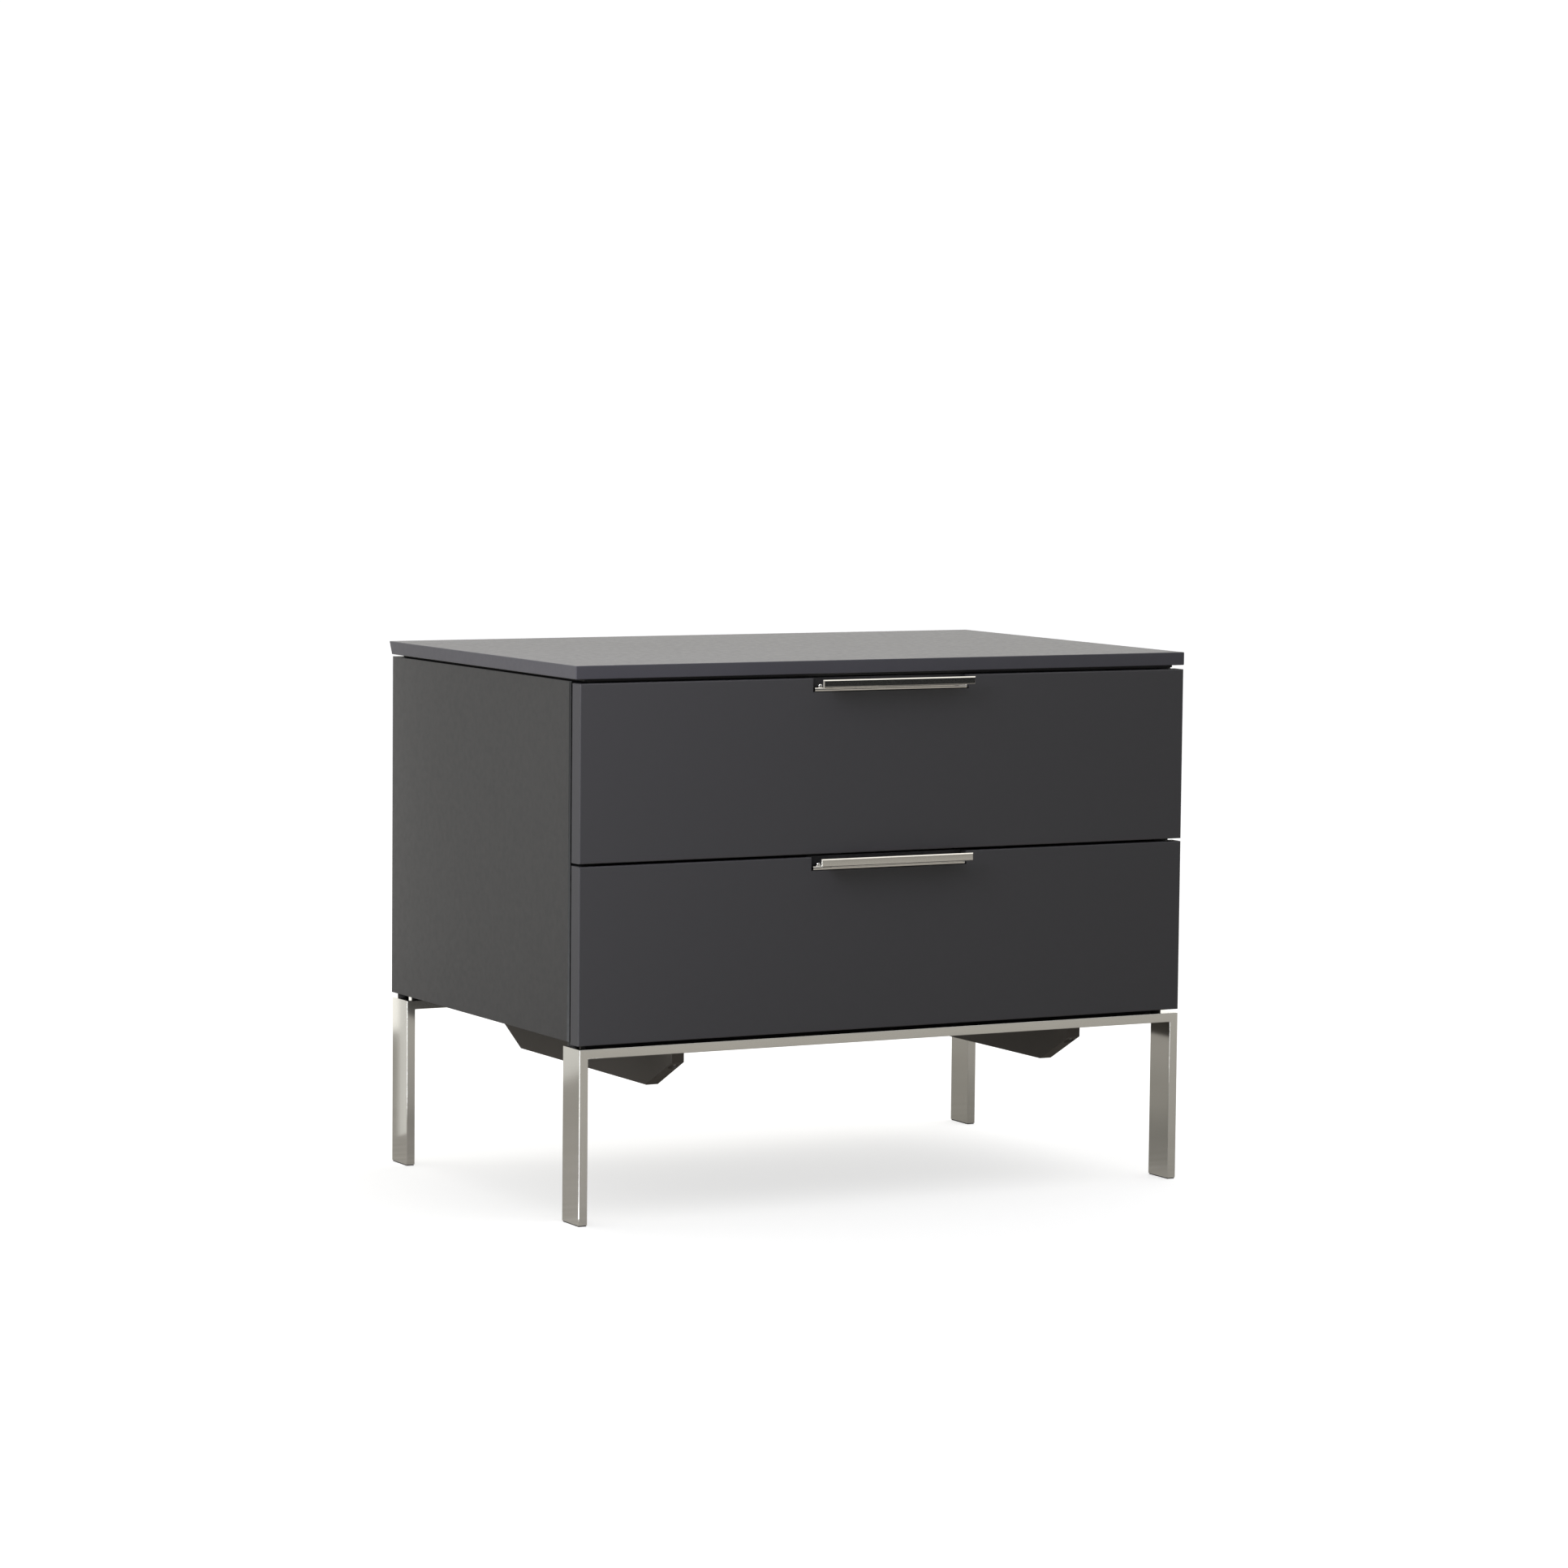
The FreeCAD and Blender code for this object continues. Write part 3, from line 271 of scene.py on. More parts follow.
def silicone(name, colour):
    """Cloudy clear rubber."""
    material, tree, shader = begin_finish(name)
    cloud = noise(tree, object_space(tree), scale=400.0, detail=2.0)
    tree.links.new(colour_between(tree, cloud, scaled(colour, 0.9), colour), shader.inputs["Base Color"])
    vary_roughness(tree, shader, cloud, 0.16, 0.3)
    shader.inputs["Transmission Weight"].default_value = 0.55
    shader.inputs["IOR"].default_value = 1.41
    return material


def finish(name):
    """The material of that name, made on first use from the panel's values."""
    found = bpy.data.materials.get(name)
    if found is not None:
        return found
    look = bpy.context.scene.nightstand_finishes
    coat, matt = look.lacquer_colour, look.lacquer_roughness
    makers = {
        # One coat in three brightnesses and glosses: the slab's copy is lit up 2.5 times as painted light
        # and reflection, the copy for the fronts and the back panel is darkened to 0.7 with less gloss as
        # painted shade.
        "anthracite_lacquer": lambda: lacquer(name, scaled(coat, 0.7), matt, gloss=0.2, edges=ends_painted_shade),
        "top_lacquer_painted_light": lambda: lacquer(name, scaled(coat, 2.5), matt, gloss=0.34),
        "side_lacquer": lambda: lacquer(name, coat, matt, gloss=0.4, edges=front_edge_painted_shade),
        "anthracite_board": lambda: lacquer(name, look.board_colour, roughness=0.55, spread=0.08),
        "shadow_black": lambda: lacquer(name, SHADOW_BLACK, roughness=0.65),
        "umber_lacquer": lambda: lacquer(name, look.umber_colour, roughness=0.5, spread=0.08),
        "drawer_board": lambda: melamine(name, look.drawer_colour),
        "polished_bar": lambda: steel(name, look.bar_colour, look.bar_roughness, ripple=0.32),
        "polished_handle": lambda: steel(name, look.handle_colour, roughness=0.045, ripple=0.015),
        "handle_screw": lambda: steel(name, PALE_STEEL, roughness=0.2, ripple=0.02),
        "zinc_slide": lambda: steel(name, ROLLED_ZINC, roughness=0.28, ripple=0.04,
                                    grain=(1.0, 0.04, 1.0), grain_scale=1500.0),
        "cast_zinc": lambda: steel(name, CAST_ZINC, roughness=0.42, ripple=0.03, grain_scale=1600.0),
        "zinc_screw": lambda: steel(name, PLATED_ZINC, roughness=0.27, ripple=0.02),
        "beech_dowel": lambda: wood(name, LIGHT_BEECH, DARK_BEECH, along=0),
        "black_plastic": lambda: lacquer(name, BLACK_PLASTIC, roughness=0.48, peel=0.25),
        "clear_bumper": lambda: silicone(name, CLEAR_RUBBER),
    }
    return makers[name]()


def dress(slot, *nodes):
    """Puts a finish on CAD nodes."""
    for name in nodes:
        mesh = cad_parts[name].data
        mesh.materials.clear()
        mesh.materials.append(finish(slot))


# ---------------------------------------------------------------- modelling

def activate(item):
    """Makes one object the only one selected."""
    bpy.ops.object.select_all(action="DESELECT")
    item.select_set(True)
    bpy.context.view_layer.objects.active = item


def settle(item):
    """Moves the object's place, turn and size into its mesh."""
    activate(item)
    bpy.ops.object.transform_apply(location=True, rotation=True, scale=True)


def block(name, first, last):
    """A block between two corners given in millimetres."""
    first, last = Vector(first) * MM, Vector(last) * MM
    bpy.ops.object.select_all(action="DESELECT")
    bpy.ops.mesh.primitive_cube_add(size=1.0, location=(first + last) / 2)
    item = bpy.context.object
    item.scale = last - first
    item.name = name
    settle(item)
    return item


def rod(name, centre, radius, length, sides=32):
    """An upright rod; its measures are in millimetres."""
    bpy.ops.object.select_all(action="DESELECT")
    bpy.ops.mesh.primitive_cylinder_add(vertices=sides, radius=radius * MM, depth=length * MM,
                                        location=Vector(centre) * MM)
    item = bpy.context.object
    item.name = name
    settle(item)
    return item


def edit_faces(item, test):
    """Enters edit mode with the faces selected whose middle and normal pass the test."""
    activate(item)
    bpy.ops.object.mode_set(mode="EDIT")
    bpy.ops.mesh.select_mode(type="FACE")
    bpy.ops.mesh.select_all(action="DESELECT")
    bpy.ops.object.mode_set(mode="OBJECT")
    picked = [face for face in item.data.polygons if test(face.center / MM, face.normal)]
    if not picked:
        raise RuntimeError(f"{item.name}: no face passes the test")
    for face in picked:
        face.select = True
    bpy.ops.object.mode_set(mode="EDIT")


def edit_edges(item, test):
    """Enters edit mode with the edges selected whose two ends pass the test."""
    activate(item)
    bpy.ops.object.mode_set(mode="EDIT")
    bpy.ops.mesh.select_mode(type="EDGE")
    bpy.ops.mesh.select_all(action="DESELECT")
    bpy.ops.object.mode_set(mode="OBJECT")
    points = [vertex.co / MM for vertex in item.data.vertices]
    picked = [edge for edge in item.data.edges if test(*(points[i] for i in edge.vertices))]
    if not picked:
        raise RuntimeError(f"{item.name}: no edge passes the test")
    for edge in picked:
        edge.select = True
    bpy.ops.object.mode_set(mode="EDIT")


def leave_edit():
    bpy.ops.object.mode_set(mode="OBJECT")


def cut(item, point, normal, remove=False):
    """Cuts through the whole mesh, and where asked removes what lies beyond the plane."""
    activate(item)
    bpy.ops.object.mode_set(mode="EDIT")
    bpy.ops.mesh.select_all(action="SELECT")
    bpy.ops.mesh.bisect(plane_co=Vector(point) * MM, plane_no=normal,
                        use_fill=remove, clear_outer=remove)
    leave_edit()


def push_out(distance):
    """Extrudes the selected faces along one vector in millimetres."""
    bpy.ops.mesh.extrude_region_move(TRANSFORM_OT_translate={"value": Vector(distance) * MM})


def apply(item, modifier):
    activate(item)
    bpy.ops.object.modifier_apply(modifier=modifier.name)


def round_edges(item, width, segments=3, angle=40.0):
    """Rounds every edge sharper than the angle; the width is in millimetres."""
    rounding = item.modifiers.new("rounding", "BEVEL")
    rounding.width = width * MM
    rounding.segments = segments
    rounding.limit_method = "ANGLE"
    rounding.angle_limit = math.radians(angle)
    apply(item, rounding)


def combine(item, other, operation):
    """Joins the other solid to this one, or takes it away."""
    change = item.modifiers.new("combine", "BOOLEAN")
    change.operation = operation
    change.solver = "EXACT"
    change.object = other
    apply(item, change)
    bpy.data.objects.remove(other)


def smooth(item):
    """Smooth shading that keeps flat faces flat."""
    activate(item)
    bpy.ops.object.shade_smooth_by_angle(angle=SMOOTH_ANGLE)
    weights = item.modifiers.new("weights", "WEIGHTED_NORMAL")
    weights.keep_sharp = True
    weights.weight = 100
    apply(item, weights)


def copy_at(item, name, move=(0.0, 0.0, 0.0), turn=None):
    """A copy with its own mesh, turned about the origin and then moved, in millimetres."""
    twin = item.copy()
    twin.data = item.data.copy()
    twin.name = name
    bpy.context.scene.collection.objects.link(twin)
    twin.data.transform(Matrix.Translation(Vector(move) * MM) @ (turn or Matrix.Identity(4)))
    return twin


def gather(name, items):
    """Joins objects into one piece."""
    bpy.ops.object.select_all(action="DESELECT")
    for item in items:
        item.select_set(True)
    bpy.context.view_layer.objects.active = items[0]
    if len(items) > 1:
        bpy.ops.object.join()
    joined = bpy.context.view_layer.objects.active
    joined.name = name
    joined.data.name = name
    return joined


def fit(item, body, slot, *nodes):
    """Finishes a new piece: finish, body and the CAD nodes it stands for."""
    item.data.materials.clear()
    item.data.materials.append(finish(slot))
    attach(item, body)
    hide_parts(*nodes)


def low(node):
    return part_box(node)[0] / MM


def high(node):
    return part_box(node)[1] / MM


TURNS = {
    "up": Matrix.Identity(4),
    "down": Matrix.Rotation(math.pi, 4, "X"),
    "back": Matrix.Rotation(-math.pi / 2, 4, "X"),
}
PAN_HEAD = {"head": 8.0, "height": 2.5, "shank": 4.0}


def cross(reach, half_width, floor, top):
    """A cross about the origin that cuts a slot from its floor up."""
    tool = block("slot", (-reach, -half_width, floor), (reach, half_width, top))
    across = block("slot_across", (-half_width, -reach, floor), (half_width, reach, top))
    combine(tool, across, "UNION")
    return tool


def screw(name, head, height, shank, length, recess="cross", countersunk=False):
    """A screw standing at the origin, head up from z = 0, thread down."""
    item = rod(name, (0, 0, height / 2), head / 2, height)
    if countersunk:
        edit_faces(item, lambda middle, normal: normal.z < -FACING)
        bpy.ops.transform.resize(value=(shank / head, shank / head, 1.0))
        leave_edit()
    else:
        dome = min(height, head / 2) * 0.8
        edit_edges(item, lambda a, b: min(a.z, b.z) > height - NEAR)
        bpy.ops.mesh.bevel(offset=dome * MM, segments=6, affect="EDGES")
        leave_edit()
        edit_faces(item, lambda middle, normal: normal.z < -FACING)
        bpy.ops.mesh.inset(thickness=(head - shank) / 2 * MM)
        leave_edit()
    point, tip = 1.5, 0.3
    edit_faces(item, lambda middle, normal: normal.z < -FACING and middle.xy.length < NEAR)
    push_out((0, 0, -(length - point)))
    push_out((0, 0, -point))
    bpy.ops.transform.resize(value=(tip, tip, 1.0))
    leave_edit()
    reach = head * 0.3
    if recess == "hex":
        tool = rod("recess", (0, 0, height), reach * 0.75, height, sides=6)
    else:
        tool = cross(reach, half_width=head * 0.055, floor=height - 0.9, top=height + 1.0)
    combine(item, tool, "DIFFERENCE")
    smooth(item)
    return item


def set_screws(node, body, slot, model, places):
    """Copies of one screw at several places, each with the way its head points, as one piece."""
    copies = [copy_at(model, f"{node}_{number}", place, TURNS[way])
              for number, (place, way) in enumerate(places)]
    bpy.data.objects.remove(model)
    fit(gather(node + "_fitted", copies), body, slot, node)


def both(way, x, *rest):
    """The place at plus and minus x, with the way."""
    return [((sign * x, *rest), way) for sign in (-1, 1)]


def channel(name, reach, tall, length, sheet_steel=1.2, corner=2.4):
    """A rolled steel channel along Y about the origin; its web's outer face is at x = 0."""
    item = block(name, (0, -length / 2, -tall / 2), (sheet_steel, length / 2, tall / 2))
    inside = tall / 2 - sheet_steel
    for sign in (-1, 1):
        cut(item, (0, 0, sign * inside), (0, 0, 1))
    edit_faces(item, lambda middle, normal: normal.x > FACING and abs(middle.z) > inside)
    push_out((reach - sheet_steel, 0, 0))
    leave_edit()
    for x, z, radius in ((0, tall / 2, corner), (sheet_steel, inside, corner - sheet_steel)):
        edit_edges(item, lambda a, b: a.z * b.z > 0 and all(
            abs(end.x - x) < NEAR and abs(abs(end.z) - z) < NEAR for end in (a, b)))
        bpy.ops.mesh.bevel(offset=radius * MM, segments=5, affect="EDGES")
        leave_edit()
    return item


# ---------------------------------------------------------------- values

class NightstandFinishes(bpy.types.PropertyGroup):
    """Colours and gloss of the visible finishes."""

    lacquer_colour: bpy.props.FloatVectorProperty(
        name="Lacquer", description="Anthracite lacquer of the panels", subtype="COLOR", size=3,
        min=0.0, max=1.0, default=tone(45, 45, 49))
    lacquer_roughness: bpy.props.FloatProperty(
        name="Lacquer roughness", description="Higher is more matt", subtype="FACTOR",
        min=0.05, max=0.95, default=0.4)
    board_colour: bpy.props.FloatVectorProperty(
        name="Carcass board", description="Coated board inside the carcass", subtype="COLOR", size=3,
        min=0.0, max=1.0, default=tone(58, 58, 58))
    umber_colour: bpy.props.FloatVectorProperty(
        name="Mounting board", description="Dark boards under the carcass", subtype="COLOR", size=3,
        min=0.0, max=1.0, default=tone(52, 47, 42))
    drawer_colour: bpy.props.FloatVectorProperty(
        name="Drawer board", description="Decor of the drawer boxes", subtype="COLOR", size=3,
        min=0.0, max=1.0, default=tone(178, 174, 166))
    bar_colour: bpy.props.FloatVectorProperty(
        name="Steel bar", description="Polished flat bar of the two frames", subtype="COLOR", size=3,
        min=0.0, max=1.0, default=(0.54, 0.52, 0.485))
    bar_roughness: bpy.props.FloatProperty(
        name="Steel roughness", description="Gloss of the polished bar", subtype="FACTOR",
        min=0.01, max=0.6, default=0.04)
    handle_colour: bpy.props.FloatVectorProperty(
        name="Handle", description="Polished handle", subtype="COLOR", size=3,
        min=0.0, max=1.0, default=(0.78, 0.765, 0.72))


class NightstandSizes(bpy.types.PropertyGroup):
    """Sizes of the parts that are modelled here, in metres."""

    bar_edge: bpy.props.FloatProperty(
        name="Bar edge", description="Rounding of the steel bar's edges", subtype="DISTANCE",
        unit="LENGTH", min=0.0002, max=0.003, default=0.0005)
    grip_bevel: bpy.props.FloatProperty(
        name="Grip bevel", description="Bevel round the handle's face", subtype="DISTANCE",
        unit="LENGTH", min=0.0001, max=0.0012, default=0.0009)


class NightstandStage(bpy.types.PropertyGroup):
    """Light and camera."""

    air: bpy.props.FloatProperty(
        name="Room light", description="Even light from all sides", min=0.0, max=5.0, default=0.40)
    side_window: bpy.props.FloatProperty(
        name="Side window", description="Power of the lamp at the left", subtype="POWER",
        unit="POWER", min=0.0, max=500.0, default=9.0)
    front_window: bpy.props.FloatProperty(
        name="Front window", description="Power of the lamp at the front left", subtype="POWER",
        unit="POWER", min=0.0, max=500.0, default=11.0)
    ceiling: bpy.props.FloatProperty(
        name="Ceiling", description="Power of the lamp overhead", subtype="POWER",
        unit="POWER", min=0.0, max=500.0, default=12.0)
    floor_light: bpy.props.FloatProperty(
        name="Floor light", description="Light that only the white floor receives", min=0.0, max=10.0,
        default=0.85)
    lens: bpy.props.FloatProperty(
        name="Lens", description="Focal length in millimetres", min=20.0, max=300.0, default=115.21)


# ---------------------------------------------------------------- pieces

class NIGHTSTAND_OT_panels(bpy.types.Operator):
    """Lacquered slab, side panels, back panel and drawer fronts"""

    bl_idname = "nightstand.panels"
    bl_label = "Lacquered panels"

    def execute(self, context):
        # painted shade on the fronts and back panel, painted light on the slab
        dress("anthracite_lacquer", "back_panel", "upper_drawer_front", "lower_drawer_front")
        dress("top_lacquer_painted_light", "top_panel")
        dress("side_lacquer", "left_side_panel", "right_side_panel")
        return {"FINISHED"}


class NIGHTSTAND_OT_carcass(bpy.types.Operator):
    """Boards between the side panels, and the shadow gap under the slab"""

    bl_idname = "nightstand.carcass"
    bl_label = "Carcass boards"

    def execute(self, context):
        dress("anthracite_board", "carcass_top", "carcass_bottom")
        # the spacer is black as painted shade for the recess under the slab
        dress("shadow_black", "shadow_spacer")
        dress("beech_dowel", "carcass_dowels")
        dress("cast_zinc", "cam_bolts")
        return {"FINISHED"}


class NIGHTSTAND_OT_mounting_boards(bpy.types.Operator):
    """Dark boards between the carcass and the steel frames"""

    bl_idname = "nightstand.mounting_boards"
    bl_label = "Mounting boards"

    def execute(self, context):
        dress("umber_lacquer", "left_mounting_board", "right_mounting_board")
        dress("black_plastic", "leg_glides")
        self.spacers()
        return {"FINISHED"}

    def spacers(self):
        """Round spacers under the side panels and a long strip on each rail, softened at the edges."""
        node = "rail_spacers"
        under, top = low(node).z, high(node).z
        strip_end, strip_depth = high("carcass_bottom").x - 0.4, 9
        strip_fronts = (low("carcass_bottom").y, high("right_side_panel").y - 16)
        spacer_x, spacer_rows, spacer_radius = 289.5, (-159.5, 190.0), 5.0
        items = [block("strip", (-strip_end, front, under), (strip_end, front + strip_depth, top))
                 for front in strip_fronts]
        for y in spacer_rows:
            for sign in (-1, 1):
                centre = (sign * spacer_x, y, (under + top) / 2)
                items.append(rod("spacer", centre, spacer_radius, top - under, sides=40))
        for item in items:
            round_edges(item, 0.4, segments=2)
            smooth(item)
        fit(gather("rail_spacers_moulded", items), "carcass", "black_plastic", node)


class NIGHTSTAND_OT_steel_frames(bpy.types.Operator):
    """Front and rear frame of polished flat bar, mitred at the corners"""

    bl_idname = "nightstand.steel_frames"
    bl_label = "Steel frames"

    def execute(self, context):
        edge = context.scene.nightstand_sizes.bar_edge / MM
        for end in ("front", "rear"):
            rail, left, right = f"{end}_rail", f"{end}_left_leg", f"{end}_right_leg"
            outer, inner = high(right).x, low(right).x
            front, back = low(rail).y, high(rail).y
            under, top = low(rail).z, high(rail).z
            foot = low(left).z
            spare = 3.0  # the legs are rounded too long and then cut, so their feet stay crisp
            shape = block("frame", (-outer, front, under), (outer, back, top))
            for sign in (-1, 1):
                cut(shape, (sign * inner, 0, 0), (1, 0, 0))
            edit_faces(shape, lambda middle, normal: normal.z < -FACING and abs(middle.x) > inner)
            push_out((0, 0, foot - spare - under))
            leave_edit()
            round_edges(shape, edge, segments=4)
            cut(shape, (0, 0, foot), (0, 0, -1), remove=True)
            pieces = {rail: shape, **{leg: copy_at(shape, leg + "_bar") for leg in (left, right)}}
            for sign, leg in ((-1, left), (1, right)):
                cut(pieces[leg], (sign * outer, 0, top), (-sign, 0, 1), remove=True)
                cut(pieces[rail], (sign * outer, 0, top), (sign, 0, -1), remove=True)
            pieces[rail].name = rail + "_bar"
            for node, item in pieces.items():
                smooth(item)
                fit(item, "carcass", "polished_bar", node)
        return {"FINISHED"}


class NIGHTSTAND_OT_handles(bpy.types.Operator):
    """Polished handles: a fixing plate, a thin web and a bevelled grip"""

    bl_idname = "nightstand.handles"
    bl_label = "Handles"

    def execute(self, context):
        bevel = context.scene.nightstand_sizes.grip_bevel / MM
        plate_thick, plate_nose = 4.0, 1.7
        web_end, web_under, web_top = 65, 3.9, 5.4
        web_front, web_back = 0.9, 3.0
        grip_under, grip_thick = 4.4, 1.8
        screw_x, screw_y = 68.7, -181.6
        for level in LEVELS:
            node, body = f"{level}_handle", f"{level}_drawer"
            screws = f"{level}_handle_screws"
            end = high(node).x
            face, rear = low(node).y, high(node).y
            base, top = low(node).z, high(node).z
            front = low(f"{level}_drawer_front").y
            lip = base + plate_thick
            plate = block("plate", (-end, front, base), (end, rear, lip))
            edit_edges(plate, lambda a, b: max(a.y, b.y) < front + NEAR and abs(a.z - b.z) < NEAR)
            bpy.ops.mesh.bevel(offset=plate_nose * MM, segments=6, affect="EDGES")
            leave_edit()
            round_edges(plate, 0.3, segments=2)
            web = block("web", (-web_end, face + web_front, base + web_under),
                        (web_end, front + web_back, base + web_top))
            round_edges(web, 0.2, segments=2)
            grip = block("grip", (-end, face, base + grip_under), (end, face + grip_thick, top))
            edit_edges(grip, lambda a, b: max(a.y, b.y) < face + NEAR)
            bpy.ops.mesh.bevel(offset=bevel * MM, segments=1, affect="EDGES")
            leave_edit()
            round_edges(grip, 0.08, segments=2)
            combine(plate, web, "UNION")
            combine(plate, grip, "UNION")
            smooth(plate)
            plate.name = node + "_bar"
            fit(plate, body, "polished_handle", node)
            model = screw("handle_screw", head=4.4, height=3.0, shank=2.6,
                          length=lip - low(screws).z, recess="hex")
            set_screws(screws, body, "handle_screw", model, both("up", screw_x, screw_y, lip))
        return {"FINISHED"}


class NIGHTSTAND_OT_drawer_boxes(bpy.types.Operator):
    """Boards of the drawer boxes, their front fixings and bumpers"""

    bl_idname = "nightstand.drawer_boxes"
    bl_label = "Drawer boxes"

    def execute(self, context):
        for level in LEVELS:
            dress("drawer_board", *(f"{level}_box_{part}" for part in
                                    ("left_side", "right_side", "front", "back", "bottom")))
            dress("zinc_screw", f"{level}_rail_screws")
            self.front_screws(level)
            self.bumpers(level)
        return {"FINISHED"}

    def front_screws(self, level):
        """Screws through the box front into the lacquered front."""
        node = f"{level}_front_screws"
        x, head = 200, 8.0
        seat = high(f"{level}_box_front").y
        model = screw("front_screw", head, high(node).y - seat, shank=4.0, length=seat - low(node).y)
        rows = (low(node).z + head / 2, high(node).z - head / 2)
        places = [spot for z in rows for spot in both("back", x, seat, z)]
        set_screws(node, f"{level}_drawer", "zinc_screw", model, places)

    def bumpers(self, level):
        """Domed bumpers behind the lacquered front, towards the edges of the carcass boards."""
        node = f"{level}_bumpers"
        x, radius, dome = 250, 4.0, 2.4
        start, end = low(node), high(node)
        tall = end.y - start.y
        model = rod("bumper", (0, 0, tall / 2), radius, tall, sides=24)
        edit_edges(model, lambda a, b: min(a.z, b.z) > tall - NEAR)
        bpy.ops.mesh.bevel(offset=dome * MM, segments=6, affect="EDGES")
        leave_edit()
        smooth(model)
        set_screws(node, f"{level}_drawer", "clear_bumper", model,
                   both("back", x, start.y, (start.z + end.z) / 2))


class NIGHTSTAND_OT_runners(bpy.types.Operator):
    """Telescopic runners: cabinet rail, middle rail and drawer rail"""

    bl_idname = "nightstand.runners"
    bl_label = "Drawer runners"

    def execute(self, context):
        dress("zinc_screw", "cabinet_rail_screws")
        for part, body in (("cabinet", "carcass"), ("middle", "{}_middle_slides"), ("drawer", "{}_drawer")):
            self.rails(part, body)
        return {"FINISHED"}

    def rails(self, part, body):
        first = f"upper_right_{part}_rail"
        start, end = low(first), high(first)
        reach, length, tall = end - start
        model = channel(f"{part}_rail_model", reach, tall, length)
        smooth(model)
        for level in LEVELS:
            for side in SIDES:
                node = f"{level}_{side}_{part}_rail"
                start, end = low(node), high(node)
                middle = (start + end) / 2
                web_at_left = (side == "left") != (part == "drawer")
                web = start.x if web_at_left else end.x
                turn = None if web_at_left else Matrix.Rotation(math.pi, 4, "Z")
                item = copy_at(model, node + "_rolled", (web, middle.y, middle.z), turn)
                fit(item, body.format(level), "zinc_slide", node)
        bpy.data.objects.remove(model)


class NIGHTSTAND_OT_fittings(bpy.types.Operator):
    """Screws and cam fittings of the carcass"""

    bl_idname = "nightstand.fittings"
    bl_label = "Carcass fittings"

    def execute(self, context):
        self.cams()
        self.top_screws()
        self.frame_screws()
        self.mounting_board_screws()
        self.back_panel_screws()
        return {"FINISHED"}

    def cams(self):
        """Cam locks with a cross slot in their face."""
        node = "cam_locks"
        x, rows = 257.5, (-125, 160)
        radius, thick = 7.4, 12
        model = rod("cam_lock", (0, 0, -thick / 2), radius, thick, sides=48)
        edit_faces(model, lambda middle, normal: normal.z > FACING)
        bpy.ops.mesh.inset(thickness=0.9 * MM)
        bpy.ops.mesh.inset(thickness=0.3 * MM, depth=-0.5 * MM)
        leave_edit()
        combine(model, cross(reach=4.2, half_width=0.6, floor=-3.5, top=1.0), "DIFFERENCE")
        smooth(model)
        faces = (("up", high(node).z), ("down", low(node).z))
        places = [spot for y in rows for way, z in faces for spot in both(way, x, y, z)]
        set_screws(node, "carcass", "cast_zinc", model, places)

    def top_screws(self):
        """Screws up through the carcass top into the slab."""
        node = "top_panel_screws"
        x, rows, seat = 200, (-115, 135), 441.5
        model = screw("top_screw", **PAN_HEAD, length=high(node).z - seat)
        places = [spot for y in rows for spot in both("down", x, y, seat)]
        set_screws(node, "carcass", "zinc_screw", model, places)

    def frame_screws(self):
        """Screws that hold the two rails, each row with its own seat."""
        node = "frame_screws"
        x, rows_and_seats = 197, ((-163, 131.0), (173, 136.0))
        items = []
        for y, seat in rows_and_seats:
            model = screw("frame_screw", **PAN_HEAD, length=high(node).z - seat)
            items += [copy_at(model, "frame_screw_fitted", place, TURNS[way])
                      for place, way in both("down", x, y, seat)]
            bpy.data.objects.remove(model)
        fit(gather("frame_screws_fitted", items), "carcass", "zinc_screw", node)

    def mounting_board_screws(self):
        """Screws up through the mounting boards."""
        node = "mounting_board_screws"
        x, rows, height = 197, (-75, 75), 3.0
        seat = low(node).z + height
        model = screw("mounting_screw", 8.5, height, shank=5.0, length=high(node).z - seat)
        places = [spot for y in rows for spot in both("down", x, y, seat)]
        set_screws(node, "carcass", "zinc_screw", model, places)

    def back_panel_screws(self):
        """Countersunk screws along the top and the bottom of the back panel."""
        node = "back_panel_screws"
        columns, head, height = (90, 230), 6.6, 1.8
        seat = high(node).y - height
        model = screw("back_screw", head, height, shank=3.5, length=seat - low(node).y, countersunk=True)
        rows = (low(node).z + head / 2, high(node).z - head / 2)
        places = [spot for x in columns for z in rows for spot in both("back", x, seat, z)]
        set_screws(node, "carcass", "zinc_screw", model, places)


# ---------------------------------------------------------------- stage

def seen_by(item, camera=False, diffuse=False, glossy=False):
    """Which rays meet a stage object; none of them throws a shadow."""
    item.visible_camera = camera
    item.visible_diffuse = diffuse
    item.visible_glossy = glossy
    item.visible_transmission = glossy
    item.visible_volume_scatter = False
    item.visible_shadow = False


def glow(name, colour, strength):
    """A surface that only shines."""
    material, _, shader = begin_finish(name)
    shader.inputs["Base Color"].default_value = (0.0, 0.0, 0.0, 1.0)
    shader.inputs["Specular IOR Level"].default_value = 0.0
    shader.inputs["Emission Color"].default_value = (*colour, 1.0)
    shader.inputs["Emission Strength"].default_value = strength
    return material


def floor_paint():
    """Matt white with a little light of its own."""
    material, _, shader = begin_finish("white_floor_paint")
    shader.inputs["Base Color"].default_value = (0.6, 0.6, 0.6, 1.0)
    shader.inputs["Roughness"].default_value = 0.9
    shader.inputs["Specular IOR Level"].default_value = 0.0
    shader.inputs["Emission Color"].default_value = (1.0, 1.0, 1.0, 1.0)
    shader.inputs["Emission Strength"].default_value = 0.63
    return material


